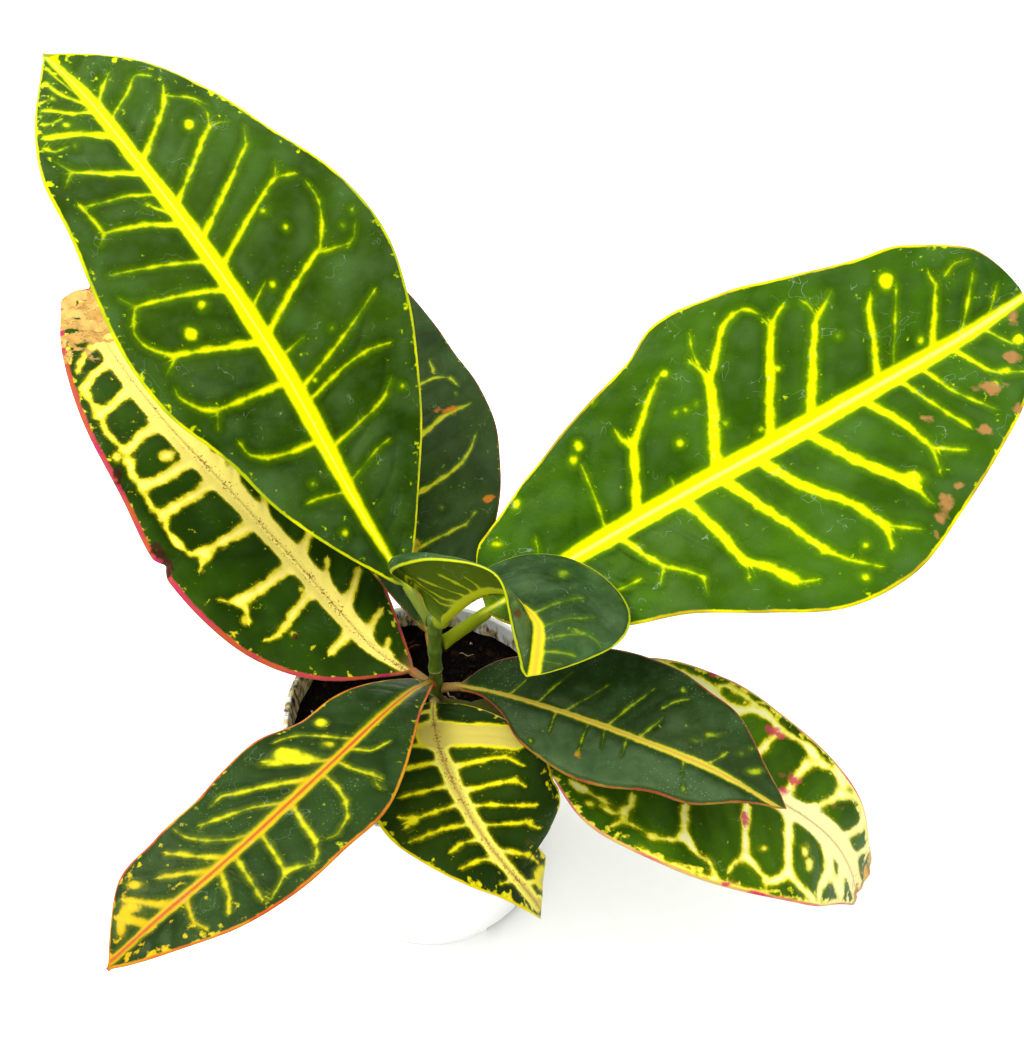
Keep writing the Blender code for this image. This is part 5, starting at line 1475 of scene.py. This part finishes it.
def crumb_tree():
    """The tree that scatters one kind of grain, and its inputs' identifiers."""
    tree = bpy.data.node_groups.new("scatter_crumbs", "GeometryNodeTree")
    sockets = {}
    for name, kind, default in INPUTS:
        sockets[name] = tree.interface.new_socket(name, in_out="INPUT",
                                                  socket_type="NodeSocket" + kind)
        if default is not None:
            sockets[name].default_value = default
    tree.interface.new_socket("Geometry", in_out="OUTPUT", socket_type="NodeSocketGeometry")
    given = add(tree, "NodeGroupInput").outputs
    bed = add(tree, "SeparateXYZ", {0: add(tree, "GeometryNodeInputPosition")}).outputs
    high = add(tree, "FunctionNodeCompare", {0: bed["Z"], 1: given["Lowest"]}, operation="GREATER_THAN")
    flat = add(tree, "CombineXYZ", {0: bed["X"], 1: bed["Y"]})
    radius = add(tree, "VectorMath", {0: flat}, operation="LENGTH").outputs["Value"]
    within = add(tree, "FunctionNodeCompare", {0: radius, 1: given["Reach"]}, operation="LESS_THAN")
    on_top = add(tree, "FunctionNodeBooleanMath", {0: high, 1: within}, operation="AND")
    spots = add(tree, "GeometryNodeDistributePointsOnFaces",
                {"Mesh": given["Geometry"], "Selection": on_top, "Density": given["Density"],
                 "Seed": given["Seed"]})
    ball = add(tree, "GeometryNodeMeshIcoSphere", {"Radius": 1.0, "Subdivisions": given["Roundness"]})
    where = add(tree, "GeometryNodeInputPosition")
    rough = add(tree, "TexNoise", {"Vector": where, "Scale": 1.3, "Detail": 1.0})
    rough = add(tree, "VectorMath", {0: rough.outputs["Color"], 1: (0.5, 0.5, 0.5)}, operation="SUBTRACT")
    rough = add(tree, "VectorMath", {0: rough, "Scale": 1.3}, operation="SCALE")
    grain = add(tree, "GeometryNodeSetPosition", {"Geometry": ball, "Offset": rough})
    squash = add(tree, "CombineXYZ", {0: 1.0, 1: 0.8, 2: given["Flatness"]})
    grain = add(tree, "GeometryNodeTransform", {"Geometry": grain, "Scale": squash})
    turn = add(tree, "FunctionNodeRandomValue",
               {0: (0, 0, 0), 1: (1.2, 1.2, math.tau), 8: given["Seed"]}, data_type="FLOAT_VECTOR")
    size = add(tree, "FunctionNodeRandomValue",
               {2: given["Smallest"], 3: given["Largest"], 8: given["Seed"]}, data_type="FLOAT")
    laid = add(tree, "GeometryNodeInstanceOnPoints",
               {"Points": spots, "Instance": grain, "Rotation": turn, "Scale": size})
    real = add(tree, "GeometryNodeRealizeInstances", {"Geometry": laid})
    dressed = add(tree, "GeometryNodeSetMaterial", {"Geometry": real, "Material": given["Finish"]})
    add(tree, "NodeGroupOutput", {0: dressed})
    return tree, {name: socket.identifier for name, socket in sockets.items()}


def scattered(name, bed, tree, identifiers, values):
    """Run a tree on a copy of a bed, and keep the result as a plain mesh."""
    piece = bed.copy()
    piece.data = bed.data.copy()
    piece.name = name
    piece.parent = None
    for key in list(piece.keys()):
        if key.startswith("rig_"):
            del piece[key]
    bpy.context.scene.collection.objects.link(piece)
    modifier = piece.modifiers.new("scatter", "NODES")
    modifier.node_group = tree
    for key, value in values.items():
        modifier[identifiers[key]] = value
    make_plain(piece, modifier)
    piece.data.name = name
    return piece


crumbs, crumb_inputs = crumb_tree()
KINDS = {
    "peat_crumbs": dict(Density=2.1e5, Smallest=0.0004, Largest=0.0012, Flatness=0.75, Seed=3,
                        Finish=soil_finish("crumbled_peat", "#060403", "#1a110c", 900.0)),
    "bark_flakes": dict(Density=2.2e4, Smallest=0.0009, Largest=0.0026, Flatness=0.35, Seed=8,
                        Reach=0.0465, Finish=soil_finish("fine_bark", "#0e0805", "#3a2416", 700.0)),
    "perlite_grains": dict(Density=3.0e3, Smallest=0.0005, Largest=0.0013, Flatness=0.8, Seed=15,
                           Finish=soil_finish("perlite", "#8c7f70", "#e0d6c6", 900.0)),
}
for name, values in KINDS.items():
    settle(scattered(name, soil_piece, crumbs, crumb_inputs, values), None)

# %% [markdown]
# A few longer bits lie on the crumbs: a bent red-brown twig beside the stem and some pale rootlets
# at its foot. Each is a thin tapered tube along a path. The path is drawn in the picture, and a ray
# from the camera brings each of its points down to the height of the soil.


# %% Twigs and rootlets
TWIG_SIDES, TWIG_ROWS, TWIG_LIFT, TWIG_WOBBLE, TWIG_END = 8, 26, 1.4, 0.25, 0.04
TWIGS = [("red_bark", 0.55, [(393, 656), (404, 652), (413, 646), (421, 645)]),
         ("red_bark", 0.35, [(398, 640), (407, 644), (414, 641)]),
         ("dry_rootlet", 0.40, [(430, 694), (436, 699), (443, 697), (450, 702)]),
         ("dry_rootlet", 0.35, [(446, 690), (450, 697), (457, 700)]),
         ("dry_rootlet", 0.30, [(460, 652), (468, 656), (474, 654)]),
         ("dry_rootlet", 0.28, [(324, 668), (333, 672), (342, 670)])]


def on_soil(pixel):
    """Where the ray through a pixel meets the soil, in millimetres."""
    across, down = np.asarray(pixel, float) - np.array(PICTURE) / 2
    ray = look * LENS_PIXELS + view_right * across - view_up * down
    place = CAMERA_PLACE + ray * (SOIL_TOP + TWIG_LIFT - CAMERA_PLACE[2]) / ray[2]
    return [place[0], place[1], soil_height(place[0], place[1]) + TWIG_LIFT]


def twig_object(name, thick, pixels):
    """A round tapered tube along a path on the soil, with closed ends."""
    share = np.linspace(0, 1, TWIG_ROWS)
    knots =np.array([on_soil(pixel) for pixel in pixels])
    path = np.stack([through(knots[:, k], share) for k in range(3)], -1)
    path += TWIG_WOBBLE * ripple(share[:, None] * [20, 0, 0], 3.0, len(name))[:, None]
    run = np.gradient(path, axis=0)
    run /= np.linalg.norm(run, axis=1, keepdims=True)
    side = np.cross(run, [0, 0, 1])
    side /= np.linalg.norm(side, axis=1, keepdims=True)
    up = np.cross(side, run)
    from_end = np.clip(np.minimum(share, 1 - share) / TWIG_END, 0.02, 1)
    size = thick * (1 - 0.5 * share) * np.sqrt(from_end)
    turn = np.linspace(0, math.tau, TWIG_SIDES, endpoint=False)
    ring = side[:, None] * np.cos(turn)[:, None] + up[:, None] * np.sin(turn)[:, None]
    points = (path[:, None] + ring * size[:, None, None]).reshape(-1, 3)
    return close_ends(mesh_object(name, points, tube_quads(len(share), TWIG_SIDES)))


BARKS = {"red_bark": soil_finish("peeled_red_bark", "#3a1a0c", "#8a4a26", 1200.0),
         "dry_rootlet": soil_finish("dry_root_skin", "#7a6248", "#c8b090", 1200.0)}
for number, (kind, thick, pixels) in enumerate(TWIGS):
    settle(twig_object(f"{kind}_{number + 1}", thick, pixels), BARKS[kind])

# %% [markdown]
# The plant stands on a pale flat floor, under one broad soft light above it and a small key light
# at the upper left, as in a photo tent. A wide light is what gives waxy leaves their long soft sheen.

# %% Floor, light and camera
FLOOR_SIZE, FLOOR_DROP, WORLD_LIGHT, SENSOR = 6.0, 0.0002, 0.7, 36.0

bpy.ops.mesh.primitive_plane_add(size=FLOOR_SIZE, location=(0, 0, -FLOOR_DROP))
floor = bpy.context.object
floor.name = "studio_floor"
paper, paper_tree, paper_shader = new_finish("pale_paper")
grain = add(paper_tree, "TexNoise", {"Scale": 900.0, "Detail": 2.0})
shade = add(paper_tree, "Mix", {0: grain, 6: linear("#f4f4f3"), 7: linear("#f8f8f7")})
paper_tree.links.new(shade.outputs[2], paper_shader.inputs["Base Color"])
paper_shader.inputs["Roughness"].default_value = 0.85
floor.data.materials.append(paper)

world = bpy.data.worlds.new("studio")
bpy.context.scene.world = world
world.use_nodes = True
world.node_tree.nodes["Background"].inputs["Color"].default_value = (1.0, 1.0, 1.0, 1.0)
world.node_tree.nodes["Background"].inputs["Strength"].default_value = WORLD_LIGHT
bpy.context.scene.view_settings.view_transform = "Standard"


def soft_light(name, place, target, size, power):
    """A rectangular lamp that faces a target, with places and sizes in metres."""
    lamp =bpy.data.lights.new(name, "AREA")
    lamp.shape = "RECTANGLE"
    lamp.size, lamp.size_y = size
    lamp.energy = power
    holder = bpy.data.objects.new(name, lamp)
    bpy.context.scene.collection.objects.link(holder)
    way = np.array(target, float) - np.array(place, float)
    tilt = math.acos(-way[2] / np.linalg.norm(way))
    holder.location = place
    holder.rotation_euler = (tilt, 0, math.atan2(way[1], way[0]) - math.pi / 2)


soft_light("ceiling_light", (-0.15, -0.25, 1.7), (-0.15, -0.2499, 0.0), (3.0, 3.0), 72.0)
soft_light("key_light", (-0.6, 0.2, 1.1), (0.02, 0.0, 0.12), (0.5, 0.5), 7.0)

lens = bpy.data.cameras.new("camera")
lens.sensor_fit = "VERTICAL"
lens.sensor_height = SENSOR
lens.lens = LENS_PIXELS / PICTURE[1] * SENSOR
lens.clip_start = 0.01
camera = bpy.data.objects.new("camera", lens)
bpy.context.scene.collection.objects.link(camera)
camera.location = CAMERA_PLACE * MM
camera.rotation_euler = (math.pi / 2 - pitch, 0, 0)
camera.rotation_euler.rotate_axis("Z", roll)
bpy.context.scene.camera = camera
print("lens", round(lens.lens, 2), "mm")
